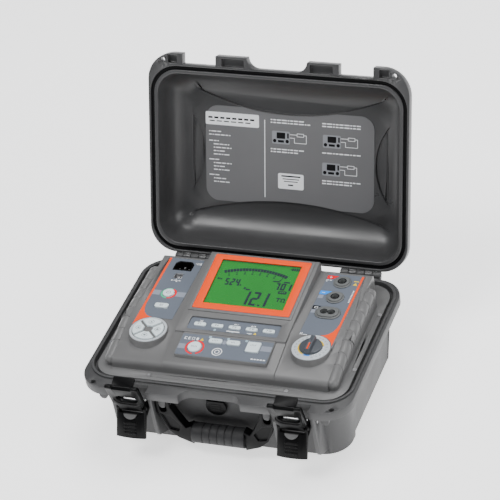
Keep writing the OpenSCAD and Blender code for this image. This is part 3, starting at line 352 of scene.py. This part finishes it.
floorSetup = {"size": 30, "height": -0.0004, "colour": (0.93, 0.93, 0.93, 1), "glow": 1.3}
deselectAll()
bpy.ops.mesh.primitive_plane_add(size=floorSetup["size"], location=(0, 0, floorSetup["height"]))
floor = bpy.context.object
floor.name = "floor"
floorMaterial, floorTree, floorShader = newMaterial("paleFloor")
floorShader.inputs["Base Color"].default_value = floorSetup["colour"]
floorShader.inputs["Roughness"].default_value = 0.9
floorShader.inputs["Specular IOR Level"].default_value = 0.1
floorShader.inputs["Emission Color"].default_value = (1, 1, 1, 1)
floorShader.inputs["Emission Strength"].default_value = floorSetup["glow"]
floor.data.materials.append(floorMaterial)

# node, body, slot, finish, edge width, edge segments, and the merge distance where it isn't the usual one
roundings = [
    ("base_shell", "case", "case_plastic", "casePlastic", 0.0005, 2, 0.0001),
    ("lid_shell", "lid", "lid_plastic", "lidPlastic", 0.001, 3),
    ("panel_plate", "case", "panel_plastic", "panelPlastic", 0.0003, 2, 0.0002),
    ("handle_frame", "handle", "black_plastic", "blackPlastic", 0.001, 3),
    ("handle_grip", "handle", "grip_rubber", "gripRubber", 0.0003, 2),
    ("pressure_valve", "case", "black_plastic", "blackPlastic", 0.0005, 2),
    ("display_bezel", "case", "bezel_orange", "bezelOrange", 0.0003, 2),
    ("mains_inlet", "case", "black_plastic", "blackPlastic", 0.0003, 2),
    ("usb_socket", "case", "steel", "steel", 0.0001, 2),
    ("socket_plus", "case", "socket_plastic", "socketPlastic", 0.0003, 2),
    ("socket_minus", "case", "socket_plastic", "socketPlastic", 0.0003, 2),
    ("socket_guard", "case", "socket_plastic", "socketPlastic", 0.0003, 2),
    ("selector_knob", "knob", "knob_plastic", "knobPlastic", 0.0006, 3),
    ("nav_ring", "case", "ring_pale", "ringPale", 0.0003, 2),
    ("dial_ring", "case", "ring_pale", "ringPale", 0.0003, 2),
]
for side in ("left", "right"):
    latch, claw = side + "_latch", side + "_claw"
    roundings += [
        ("latch_%s_lever" % side, latch, "black_plastic", "blackPlastic", 0.0005, 2),
        ("latch_%s_release" % side, latch, "release_plastic", "releasePlastic", 0.0004, 2),
        ("latch_%s_claw" % side, claw, "black_plastic", "blackPlastic", 0.0006, 2),
    ]
keyNames = ["power", "light", "up", "down", "left", "right", "f1", "f2", "f3", "f4", "f5",
            "enter", "esc", "start", "menu"]
for key in keyNames:
    roundings.append(("key_" + key, "key_%s_body" % key, "key_pale", "keyPale", 0.0005, 3))
for nodeName, body, slotName, finish, width, segments, *merge in roundings:
    roundedCopy(nodeName, body, finish, width, segments, merge[0] if merge else edgeSetup["merge"])
print("edges rounded on", len(roundings), "parts")

for nodeName, finish in {
    "hinge_pins": "steel", "handle_pins": "steel", "latch_pins": "steel",
    "latch_left_pin": "steel", "latch_right_pin": "steel", "panel_screws": "steel",
    "inlet_pins": "steel", "socket_contacts": "steel", "left_label": "labelSheet",
    "right_label": "labelSheet", "fkey_label": "labelSheet", "keypad_label": "labelSheet",
    "lid_label": "lidSheet", "lid_gasket": "sealRubber", "display_window": "windowClear",
    "lcd_module": "lcdGreen", "knob_pointer": "inkOrange", "keypad_mats": "sealRubber",
    "main_board": "boardGreen", "power_board": "boardGreen", "battery_pack": "batteryWrap",
    "hv_module": "blackPlastic", "selector_switch": "blackPlastic",
}.items():
    paint(nodes[nodeName], finish)

# printed marks are thin raised layers, drawn in millimetres on the plane of their own surface
hinge = {"y": 0.145, "z": 0.112, "opened": 111.3, "sheet": 0.16366}
slopes = {
    "pad": {"y": -96, "z": 134.9, "tilt": 5.4},
    "screen": {"y": -6, "z": 145.2, "tilt": 5.4},
}


def levelPlane(height):
    return Matrix.Translation((0, 0, height * mm))


# a plane that leans about an edge of its part, and keeps the case's own x and y
def leaningPlane(slope, lift):
    return (Matrix.Translation((0, slope["y"] * mm, slope["z"] * mm))
            @ Matrix.Rotation(math.radians(slope["tilt"]), 4, "X")
            @ Matrix.Translation((0, -slope["y"] * mm, 0)) @ levelPlane(lift))


def lidPlane():
    return (Matrix.Translation((0, hinge["y"], hinge["z"]))
            @ Matrix.Rotation(math.radians(-hinge["opened"]), 4, "X")
            @ Matrix.Translation((0, -hinge["y"], hinge["sheet"] - hinge["z"]))
            @ Matrix.Rotation(math.pi, 4, "X"))


surfaces = {
    "column": levelPlane(138.79),
    "strip": levelPlane(139.91),
    "pad": leaningPlane(slopes["pad"], 0.11),
    "keypadKey": leaningPlane(slopes["pad"], 2.08),
    "screen": leaningPlane(slopes["screen"], -3.15),
    "key": levelPlane(140.78),
    "navKey": levelPlane(141.08),
    "fKey": levelPlane(141.38),
    "ring": levelPlane(139.40),
    "socket": levelPlane(141.88),
    "lid": lidPlane(),
}


def bar(x0, y0, x1, y1):
    return [(x0, y0), (x1, y0), (x1, y1), (x0, y1)]


def barRow(x, y, width, height, pitch, count):
    return [bar(x + pitch * i, y, x + width + pitch * i, y + height) for i in range(count)]


def stroke(x0, y0, x1, y1, width):
    length = math.hypot(x1 - x0, y1 - y0)
    ox, oy = (y0 - y1) / length * width / 2, (x1 - x0) / length * width / 2
    return [(x0 - ox, y0 - oy), (x1 - ox, y1 - oy), (x1 + ox, y1 + oy), (x0 + ox, y0 + oy)]


# the point that lies along a direction from a centre, and then aside to its left
def offset(x, y, angle, along, aside=0.0):
    c, q = math.cos(math.radians(angle)), math.sin(math.radians(angle))
    return x + along * c - aside * q, y + along * q + aside * c


def arcPoints(x, y, radius, start, end, steps=16):
    return [offset(x, y, start + (end - start) * i / steps, radius) for i in range(steps + 1)]


def arcBand(x, y, inner, outer, start, end, steps=16):
    return arcPoints(x, y, outer, start, end, steps) + arcPoints(x, y, inner, end, start, steps)


# a closed ring, as two half bands
def ringBands(x, y, inner, outer, steps=16):
    return [arcBand(x, y, inner, outer, start, start + 180, steps) for start in (0, 180)]


def disc(x, y, radius, steps=20):
    return arcPoints(x, y, radius, 0, 360 - 360 / steps, steps - 1)


def roundBox(x0, y0, x1, y1, radius):
    corners = ((x0 + radius, y0 + radius, 180), (x1 - radius, y0 + radius, 270),
               (x1 - radius, y1 - radius, 0), (x0 + radius, y1 - radius, 90))
    return [point for x, y, start in corners for point in arcPoints(x, y, radius, start, start + 90, 6)]


# one outline: a filled circle with as many corners, its corners then put in place
def layOutline(points):
    if sum(a[0] * b[1] - b[0] * a[1] for a, b in zip(points, points[1:] + points[:1])) < 0:
        points = points[::-1]
    deselectAll()
    bpy.ops.mesh.primitive_circle_add(vertices=len(points), radius=mm, fill_type="NGON")
    mark = bpy.context.object
    for vertex, (x, y) in zip(mark.data.vertices, points):
        vertex.co = (x * mm, y * mm, 0)
    turned = mark.data.polygons[0].vertices[:]
    if turned[1] != (turned[0] + 1) % len(points):
        mark.data.flip_normals()
    return mark


# how far each kind of mark stands up from its surface
inkHeight = {
    "label": 0.1,
    "sign": 0.14,
    "legend": 0.06,
    "overprint": 0.16,
    "display": 0.4,
    "displayTag": 0.48,
}


def printMarks(name, surface, finish, outlines, body="case", height="label"):
    if surface == "lid":
        outlines = [[(x, -y) for x, y in points] for points in outlines]
    marks = [layOutline(points) for points in outlines]
    deselectAll()
    for mark in marks:
        mark.select_set(True)
    bpy.context.view_layer.objects.active = marks[0]
    if len(marks) > 1:
        bpy.ops.object.join()
    piece = bpy.context.object
    piece.name = name
    thick = piece.modifiers.new("thick", "SOLIDIFY")
    thick.thickness = inkHeight[height] * mm
    thick.offset = 1
    applyModifiers(piece)
    piece.matrix_world = surfaces[surface]
    settle(piece)
    paint(piece, finish)
    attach(piece, body)


def printLegend(name, surface, outlines, key):
    printMarks(name, surface, "inkGrey", outlines, "key_%s_body" % key, "legend")


def printOnLid(name, finish, outlines, height="label"):
    printMarks(name, "lid", finish, outlines, "lid", height)


# both columns end in a round dial: the direction keys on the left, the selector on the right
dial = {
    "x": 119.1,
    "y": -56.9,
    "stripe": 27.9,
    "arcInner": 16.4,
    "arcOuter": 18.2,
    "blueOuter": 18.6,
    "dotCircle": 17.3,
    "dot": 0.9,
    "tick": (19.2, 20.4),
    "tickLine": 0.45,
    "numberCircle": 22.3,
    "numberHalf": (0.9, 1.0),
    "numberLine": 0.4,
}
dialX, dialY = dial["x"], dial["y"]

# orange stripes that run down the outer edge of each column and wrap round its dial
sweep = arcPoints(-dialX, dialY, dial["stripe"], 165, 100, 10)
flare = [(-129, -28.5), (-134, -25.5), (-138.5, -20), (-141.5, -12), (-143, -2)]
leftStripe = [(-146.2, 105.2)] + sweep + flare + [(-143, 105.2)]
printMarks("left_stripe", "column", "inkOrange", [leftStripe])
printMarks("right_stripe", "column", "inkOrange", [[(-x, y) for x, y in leftStripe]])

# left column: band, power ring, data and plug symbols
powerKey = {"x": -119.1, "y": 25.5, "ring": (9.1, 11.4), "sign": (2.5, 3.1)}
powerX, powerY = powerKey["x"], powerKey["y"]
printMarks("left_band", "column", "labelBand",
           [bar(-142.8, 20, -131.5, 30.5), bar(-107.5, 20, -94, 30.5)])
printMarks("power_ring_green", "column", "inkGreen", [arcBand(powerX, powerY, *powerKey["ring"], 75, 265)])
printMarks("power_ring_red", "column", "inkRed", [arcBand(powerX, powerY, *powerKey["ring"], -88, 68)])
printMarks("data_symbol", "column", "inkWhite", [
    stroke(-125.5, 55.4, -114, 55.4, 0.7), disc(-125.5, 55.4, 1.3),
    stroke(-122.5, 55.4, -120, 57.8, 0.7), disc(-119.5, 57.8, 0.9),
    stroke(-120.5, 55.4, -118, 53.2, 0.7), bar(-118.2, 52.2, -116.6, 53.8),
    [(-114.5, 53.9), (-111.8, 55.4), (-114.5, 56.9)]])
printMarks("mains_symbol", "column", "inkWhite", [
    stroke(-101.5, 98, -96.5, 98, 0.8), stroke(-101.5, 95.5, -96.5, 95.5, 0.8),
    stroke(-104, 96.8, -101.5, 96.8, 0.8), bar(-96.5, 94.5, -95, 99)])

# right column: coloured tags beside the sockets, their signs and side notes
tagEdge = 94.2
for name, finish, low, high, lowEnd, highEnd in (
        ("tag_red", "inkRed", 94, 101.5, 103, 110.5),
        ("tag_blue", "inkSky", 58.5, 66.5, 103, 110.5),
        ("tag_black", "blackInkAndShade", 25, 33, 99, 106)):
    printMarks(name, "column", finish, [[(tagEdge, low), (lowEnd, low), (highEnd, high), (tagEdge, high)]])
printMarks("tag_signs", "column", "inkWhite", [
    stroke(99.6, 95.6, 99.6, 99.8, 0.9), stroke(97.5, 97.7, 101.7, 97.7, 0.9),
    stroke(97.5, 62.4, 101.7, 62.4, 0.9),
    bar(96.8, 27, 97.5, 31), bar(101.2, 27, 101.9, 31),
    bar(97.5, 27, 101.2, 27.7), bar(97.5, 30.3, 101.2, 31)], height="sign")
printMarks("socket_notes", "column", "inkWhite",
           [bar(94.6, 90.4, 98.6, 91.6), bar(99.4, 90.4, 102.4, 91.6), bar(94.6, 88, 96.6, 89.2)])
printMarks("socket_blocks", "column", "labelBand", [bar(94.4, 50, 101.5, 57), bar(94.4, 17, 101, 24)])
printMarks("rating_marks", "column", "inkWhite",
           [bar(139.6, 46 + 3.1 * i, 141.6, 47.9 + 3.1 * i) for i in range(9)])
printMarks("caution_mark", "column", "inkYellow",
           [[(135.2, 84.5), (141.4, 84.5), (138.3, 90)], bar(134.6, 92.6, 141.6, 94)])
printMarks("dial_note", "column", "inkWhite", [
    stroke(95.2, -27.5, 95.2, -31.5, 1.0), arcBand(96.5, -28.6, 0.7, 1.6, -90, 90, 8),
    stroke(96.5, -30, 98.4, -31.6, 0.8), bar(99.2, -31.6, 104.8, -30.4)])

# painted shade: black rings round the socket bores, standing in for the shade inside each bore so that it
# looks wider; centre, then inner and outer radius
boreShade = []
for x, y, inner, outer in ((dialX, 88, 4.6, 6.3), (dialX, 53.5, 4.6, 6.3),
                           (dialX - 5.4, 19, 4.1, 5.3), (dialX + 5.4, 19, 4.1, 5.3)):
    boreShade += ringBands(x, y, inner, outer)
printMarks("socket_bore_shade", "socket", "blackInkAndShade", boreShade)

# selector dial: coloured arcs, dots, ticks, and a sign made of fine strokes for each number
printMarks("dial_arc_yellow", "ring", "inkYellow",
           [arcBand(dialX, dialY, dial["arcInner"], dial["arcOuter"], 20, 246, 48)])
printMarks("dial_arc_blue", "ring", "inkSky",
           [arcBand(dialX, dialY, dial["arcInner"], dial["blueOuter"], 252, 282, 8)])
printMarks("dial_dots", "ring", "inkWhite",
           [disc(*offset(dialX, dialY, a, dial["dotCircle"]), dial["dot"], 12) for a in range(-66, 16, 12)])
dialTicks = []
halfLong, halfWide = dial["numberHalf"]
for a in range(-70, 250, 16):
    tickStart, tickEnd = (offset(dialX, dialY, a, r) for r in dial["tick"])
    dialTicks.append(stroke(*tickStart, *tickEnd, dial["tickLine"]))
    for aside in (-halfWide, halfWide):
        near = offset(dialX, dialY, a, dial["numberCircle"] - halfLong, aside)
        far = offset(dialX, dialY, a, dial["numberCircle"] + halfLong, aside)
        dialTicks.append(stroke(*near, *far, dial["numberLine"]))
    left = offset(dialX, dialY, a, dial["numberCircle"], halfWide)
    right = offset(dialX, dialY, a, dial["numberCircle"], -halfWide)
    dialTicks.append(stroke(*left, *right, dial["numberLine"]))
printMarks("dial_ticks", "ring", "inkGrey", dialTicks)

# direction keys: an arrow head inside a fine ring
arrow = {"circle": 14.2, "tip": 2.2, "back": -1.2, "half": 2.2, "ring": (3.5, 4.0)}
for key, a in (("up", 90), ("left", 180), ("down", 270), ("right", 0)):
    x, y = offset(-dialX, dialY, a, arrow["circle"])
    head = [offset(x, y, a, arrow["tip"]), offset(x, y, a, arrow["back"], arrow["half"]),
            offset(x, y, a, arrow["back"], -arrow["half"])]
    printLegend("arrow_" + key, "navKey", [head] + ringBands(x, y, *arrow["ring"], 12), key)

# other key legends, made of short strokes
printLegend("power_sign", "key", [
    arcBand(powerX, powerY, *powerKey["sign"], 120, 270, 12),
    arcBand(powerX, powerY, *powerKey["sign"], 270, 420, 12),
    stroke(powerX, powerY, powerX, 29.2, 0.6)], "power")
lamp = {"x": -119.1, "y": -3.5, "bulb": (1.2, 1.7), "ray": (2.2, 3.2), "rayLine": 0.4}
lampSign = ringBands(lamp["x"], lamp["y"], *lamp["bulb"], 10)
for a in range(0, 360, 45):
    rayStart, rayEnd = (offset(lamp["x"], lamp["y"], a, r) for r in lamp["ray"])
    lampSign.append(stroke(*rayStart, *rayEnd, lamp["rayLine"]))
printLegend("lamp_sign", "key", lampSign, "light")
functionKeys = {"centres": (-49.5, -24, 1.5, 26.5, 51.5), "low": -36.8, "high": -33.2, "pitch": 0.85}
for index, x in enumerate(functionKeys["centres"]):
    low, high = functionKeys["low"], functionKeys["high"]
    legend = [stroke(x - 2.6, low, x - 2.6, high, 0.7), stroke(x - 2.6, -33.5, x - 0.4, -33.5, 0.6),
              stroke(x - 2.6, -35, x - 0.9, -35, 0.6)]
    for line in range(index + 1):
        tally = x + 0.6 + functionKeys["pitch"] * line
        legend.append(stroke(tally, low, tally, high, 0.45))
    number = "f%d" % (index + 1)
    printLegend(number + "_legend", "fKey", legend, number)
for key, x, y, width in (("enter", -16, -65, 9), ("esc", 10, -65, 6),
                         ("start", -42, -80, 9.5), ("menu", 40, -66, 9)):
    count = int(width / 1.9)
    legend = []
    for i in range(count):
        left = x - width / 2 + width * i / count
        foot = 0.7 if i % 2 else -1.2  # the short bar is at the top and the bottom by turns
        legend.append(bar(left, y - 1.2, left + 0.5, y + 1.2))
        legend.append(bar(left + 0.5, y + foot, left + 1.3, y + foot + 0.5))
    printLegend(key + "_legend", "keypadKey", legend, key)

# function strip
printMarks("strip_marks", "strip", "inkWhite", ringBands(-50, -27.6, 1.1, 1.6, 8) + [
    stroke(-52.4, -29.6, -47.6, -25.6, 0.5), stroke(-47.6, -29.6, -52.4, -25.6, 0.5),
    bar(-1.6, -28.6, 0.2, -26.4), bar(1, -28.6, 2, -26.4), stroke(2.8, -28.4, 4.8, -26.4, 0.6),
    bar(23.4, -28.6, 25.2, -26.4), stroke(26, -28.4, 27.6, -26.4, 0.6), bar(28.2, -28.6, 30, -26.4)])
printMarks("strip_bars", "strip", "inkWhite", [bar(-8, -44.2, 11, -42.2), bar(22, -43.8, 29.5, -42.6)])
printMarks("strip_caution", "strip", "inkYellow", [[(31.5, -44.4), (36.1, -44.4), (33.8, -40.6)]])

# keypad
startKey = {"x": -42, "y": -80, "ring": (11.3, 13.6), "arc": 158}
emblem = {"x": -8, "y": -84, "outer": (6.0, 7.4), "inner": (2.6, 3.8)}
printMarks("pad_band", "pad", "labelBand",
           [bar(-66, -84.5, -56, -75.5), bar(51, -73.5, 66, -64), bar(-5.5, -68.5, -0.5, -61.5)])
printMarks("start_ring", "pad", "inkRed",
           [arcBand(startKey["x"], startKey["y"], *startKey["ring"], a, a + startKey["arc"], 20)
            for a in (-68, 112)])
printMarks("pad_links", "pad", "inkLink",
           [bar(-28, -59.5, -24.5, -56), bar(-1.5, -59.5, 2, -56), bar(25, -59.5, 28.5, -56)])
printMarks("strip_links", "strip", "inkLink",
           [bar(-26.5, -45.6, -23.5, -41.5), bar(0, -45.6, 3, -44.6), bar(25, -45.6, 28, -44.4)])
printMarks("pad_marks", "pad", "inkWhite", [
    bar(-62, -66.5, -60.8, -61.5), bar(-60.8, -62.4, -58.4, -61.5), bar(-60.8, -66.5, -58.4, -65.6),
    bar(-56.5, -66.5, -55.3, -61.5), bar(-55.3, -62.4, -53, -61.5), bar(-55.3, -66.5, -53, -65.6),
    bar(-55.3, -64.4, -53.6, -63.6), bar(-51, -66.5, -47, -65.8), bar(-51, -62.2, -47, -61.5),
    bar(-51, -65.8, -50.3, -62.2), bar(-47.7, -65.8, -47, -62.2), bar(-44.6, -66.5, -41.4, -61.5)])
printMarks("pad_caution", "pad", "inkYellow", [[(-39, -66.3), (-33.6, -66.3), (-36.3, -61.6)]])
printMarks("pad_emblem", "pad", "inkWhite",
           ringBands(emblem["x"], emblem["y"], *emblem["outer"], 20)
           + ringBands(emblem["x"], emblem["y"], *emblem["inner"], 14))
printMarks("pad_dashes", "pad", "inkWhite", barRow(43, -91.2, 3.2, 1.8, 4.4, 5))
print("labels printed")

# display: seven-segment readings, each with its lower left corner, width, height and line
readings = [
    ("524", -43, 47.5, 6, 13.5, 2.1),
    ("701", 31.5, 47.5, 6.6, 13.5, 2.4),
    ("1", -10.5, 12, 12, 27, 3.4),
    ("2", 4.6, 12, 12, 27, 3.4),
    ("1", 17.5, 12, 12, 27, 3.4),
]
segments = {"0": "abcdef", "1": "bc", "2": "abged", "4": "fgbc", "5": "afgcd", "7": "abc"}
graph = {
    "x": -3.0,
    "y": -41.0,
    "radius": 126.0,
    "depth": 5.4,
    "blocks": 22,
    "firstBlock": 112.5,
    "blockStep": 2.05,
    "blockArc": 1.7,
    "ticks": 8,
    "firstTick": 109.5,
    "tickStep": 5.6,
    "tick": (-9, -6.8),
    "tickLine": 1.3,
    "number": -11.5,
    "numberHalf": (1.2, 0.9),
}


def reading(text, x, y, width, height, thick):
    lean = 0.03
    outlines = []
    gap = thick * 0.12
    near, middle, top = thick / 2, height / 2, height - thick / 2
    left, right = gap + near, width - gap - near
    spots = {"a": ((left, top), (right, top)),
             "g": ((left, middle), (right, middle)),
             "d": ((left, near), (right, near)),
             "b": ((width - near, middle + gap), (width - near, height - gap)),
             "c": ((width - near, gap), (width - near, middle - gap)),
             "f": ((near, middle + gap), (near, height - gap)),
             "e": ((near, gap), (near, middle - gap))}
    for digit in text:
        for name in segments[digit]:
            (ax, ay), (bx, by) = spots[name]
            outlines.append([(x + px + lean * py, y + py) for px, py in stroke(ax, ay, bx, by, thick)])
        x += width * 1.3
    return outlines


ink = []
for i in range(graph["blocks"]):
    start = graph["firstBlock"] - i * graph["blockStep"]
    ink.append(arcBand(graph["x"], graph["y"], graph["radius"] - graph["depth"], graph["radius"],
                       start - graph["blockArc"], start, 2))
for i in range(graph["ticks"]):
    a = graph["firstTick"] - i * graph["tickStep"]
    tickStart, tickEnd = (offset(graph["x"], graph["y"], a, graph["radius"] + r) for r in graph["tick"])
    ink.append(stroke(*tickStart, *tickEnd, graph["tickLine"]))
    x, y = offset(graph["x"], graph["y"], a, graph["radius"] + graph["number"])
    w, h = graph["numberHalf"]
    ink.append(bar(x - w, y - h, x + w, y + h))
for values in readings:
    ink += reading(*values)
ink += [bar(18.4, 12, 21.2, 14.8), bar(40, 40, 52, 45.6), bar(-55.5, 57, -53.5, 60.4),
        bar(-52.7, 57, -51.5, 59.4), bar(-50.7, 57, -48.5, 59.4), bar(-22.5, 48.6, -20.5, 50.8),
        bar(-19.5, 48.6, -17.5, 50.8), bar(-11.5, 42.5, -8.8, 46), bar(-8, 41, -2, 43.4),
        bar(26, 62.5, 36, 64.6), bar(42, 62.5, 51, 64.6)]
ink += [stroke(41.4, 31, 47.4, 31, 1.6), stroke(44.4, 24, 44.4, 31, 1.7),
        arcBand(51.4, 28.6, 1.5, 3.1, -50, 230, 14),
        stroke(48.2, 24.8, 50.6, 24.8, 1.5), stroke(52.2, 24.8, 54.6, 24.8, 1.5)]
ink += barRow(45.6, 88, 2.4, 4.6, 3.2, 4) + [bar(43.6, 89.2, 44.8, 91.4)]
printMarks("display_ink", "screen", "lcdInk", ink, height="display")
printMarks("display_tag", "screen", "lcdGreen",
           [bar(42, 42, 44.4, 43.8), bar(45.2, 42, 47.4, 43.8), bar(48.2, 42, 50.4, 43.8)],
           height="displayTag")
print("display drawn")

# lid sheet, drawn with y running down towards the hinge when the lid stands open
# each row of words: x, y and length
listRows = [(-123, -33, 22), (-123, -28, 34), (-123, -19, 18), (-116, -14, 26), (-116, -9, 30),
            (-116, -4, 22), (-116, 1, 26), (-123, 9, 20), (-116, 14, 28), (-116, 19, 24),
            (-116, 24, 30), (-123, 32, 16), (-116, 37, 22), (-116, 42, 26)]
captionRows = [(-28, -57, 52), (-28, -53, 60), (50, -57, 66), (50, -53, 58), (-28, -14, 52),
               (-28, -10, 44), (50, -14, 60), (50, 27, 58), (50, 31, 46)]


# a row of bars of uneven width that stands in for a line of words
def wordRow(x, y, length, height, widths):
    space = 1.3
    words = []
    left = x
    for width in widths:
        if left + width > x + length:
            break
        words.append(bar(left, y, left + width, y + height))
        left += width + space
    return words


notes = []
for row, (x, y, length) in enumerate(listRows):
    notes += wordRow(x, y, length, 1.5, [2.2 + 1.9 * ((i * 7 + row * 5) % 4) for i in range(12)])
for x, y, length in captionRows:
    notes += wordRow(x, y, length, 1.7, [2.6 + 1.7 * ((i * 5 + x) % 4) for i in range(14)])
printOnLid("lid_notes", "inkWhite", notes + [bar(-37.8, -55, -36.6, 60)])

# three small drawings of the instrument wired to a part under test
instruments, faces, circuits = [], [], []
for x, y in ((-26, -40), (51, -40), (50, 1)):
    instruments.append(roundBox(x, y, x + 27, y + 19, 2))
    faces += [roundBox(x + 7, y + 2, x + 20, y + 11, 0.8), disc(x + 4, y + 14.5, 2.6),
              disc(x + 23, y + 14.5, 2.6), bar(x + 9, y + 13.2, x + 18, y + 16.6),
              bar(x + 23, y + 2.5, x + 25.4, y + 10)]
    for ax, ay, bx, by in ((27, 4, 38, 4), (27, 9, 34, 9), (34, 9, 34, 16), (34, 16, 52, 16),
                           (52, 16, 52, 4), (48, 4, 52, 4), (38, 2, 48, 2), (38, 6.4, 48, 6.4),
                           (38, 2, 38, 6.4), (48, 2, 48, 6.4)):
        circuits.append(stroke(x + ax, y + ay, x + bx, y + by, 0.8))
printOnLid("lid_instruments", "inkPale", instruments)
printOnLid("lid_circuits", "inkWhite", circuits)
printOnLid("lid_instrument_faces", "blackInkAndShade", faces, "overprint")
printOnLid("lid_stickers", "inkWhite", [roundBox(-128, -61, -46, -42, 2), roundBox(-17, 22, 22, 45, 2.5)])
stickerInk = barRow(-124, -54, 6.5, 2.6, 9.2, 8) + barRow(-122, -48.5, 8, 1.5, 11, 6)
stickerInk += [bar(-12, 25, 17, 27), bar(-10, 29.6, 15, 30.8), bar(-8, 33.2, 13, 34.4), bar(-2, 38, 6, 40)]
printOnLid("lid_sticker_text", "blackInkAndShade", stickerInk, "overprint")
print("lid sheet printed")
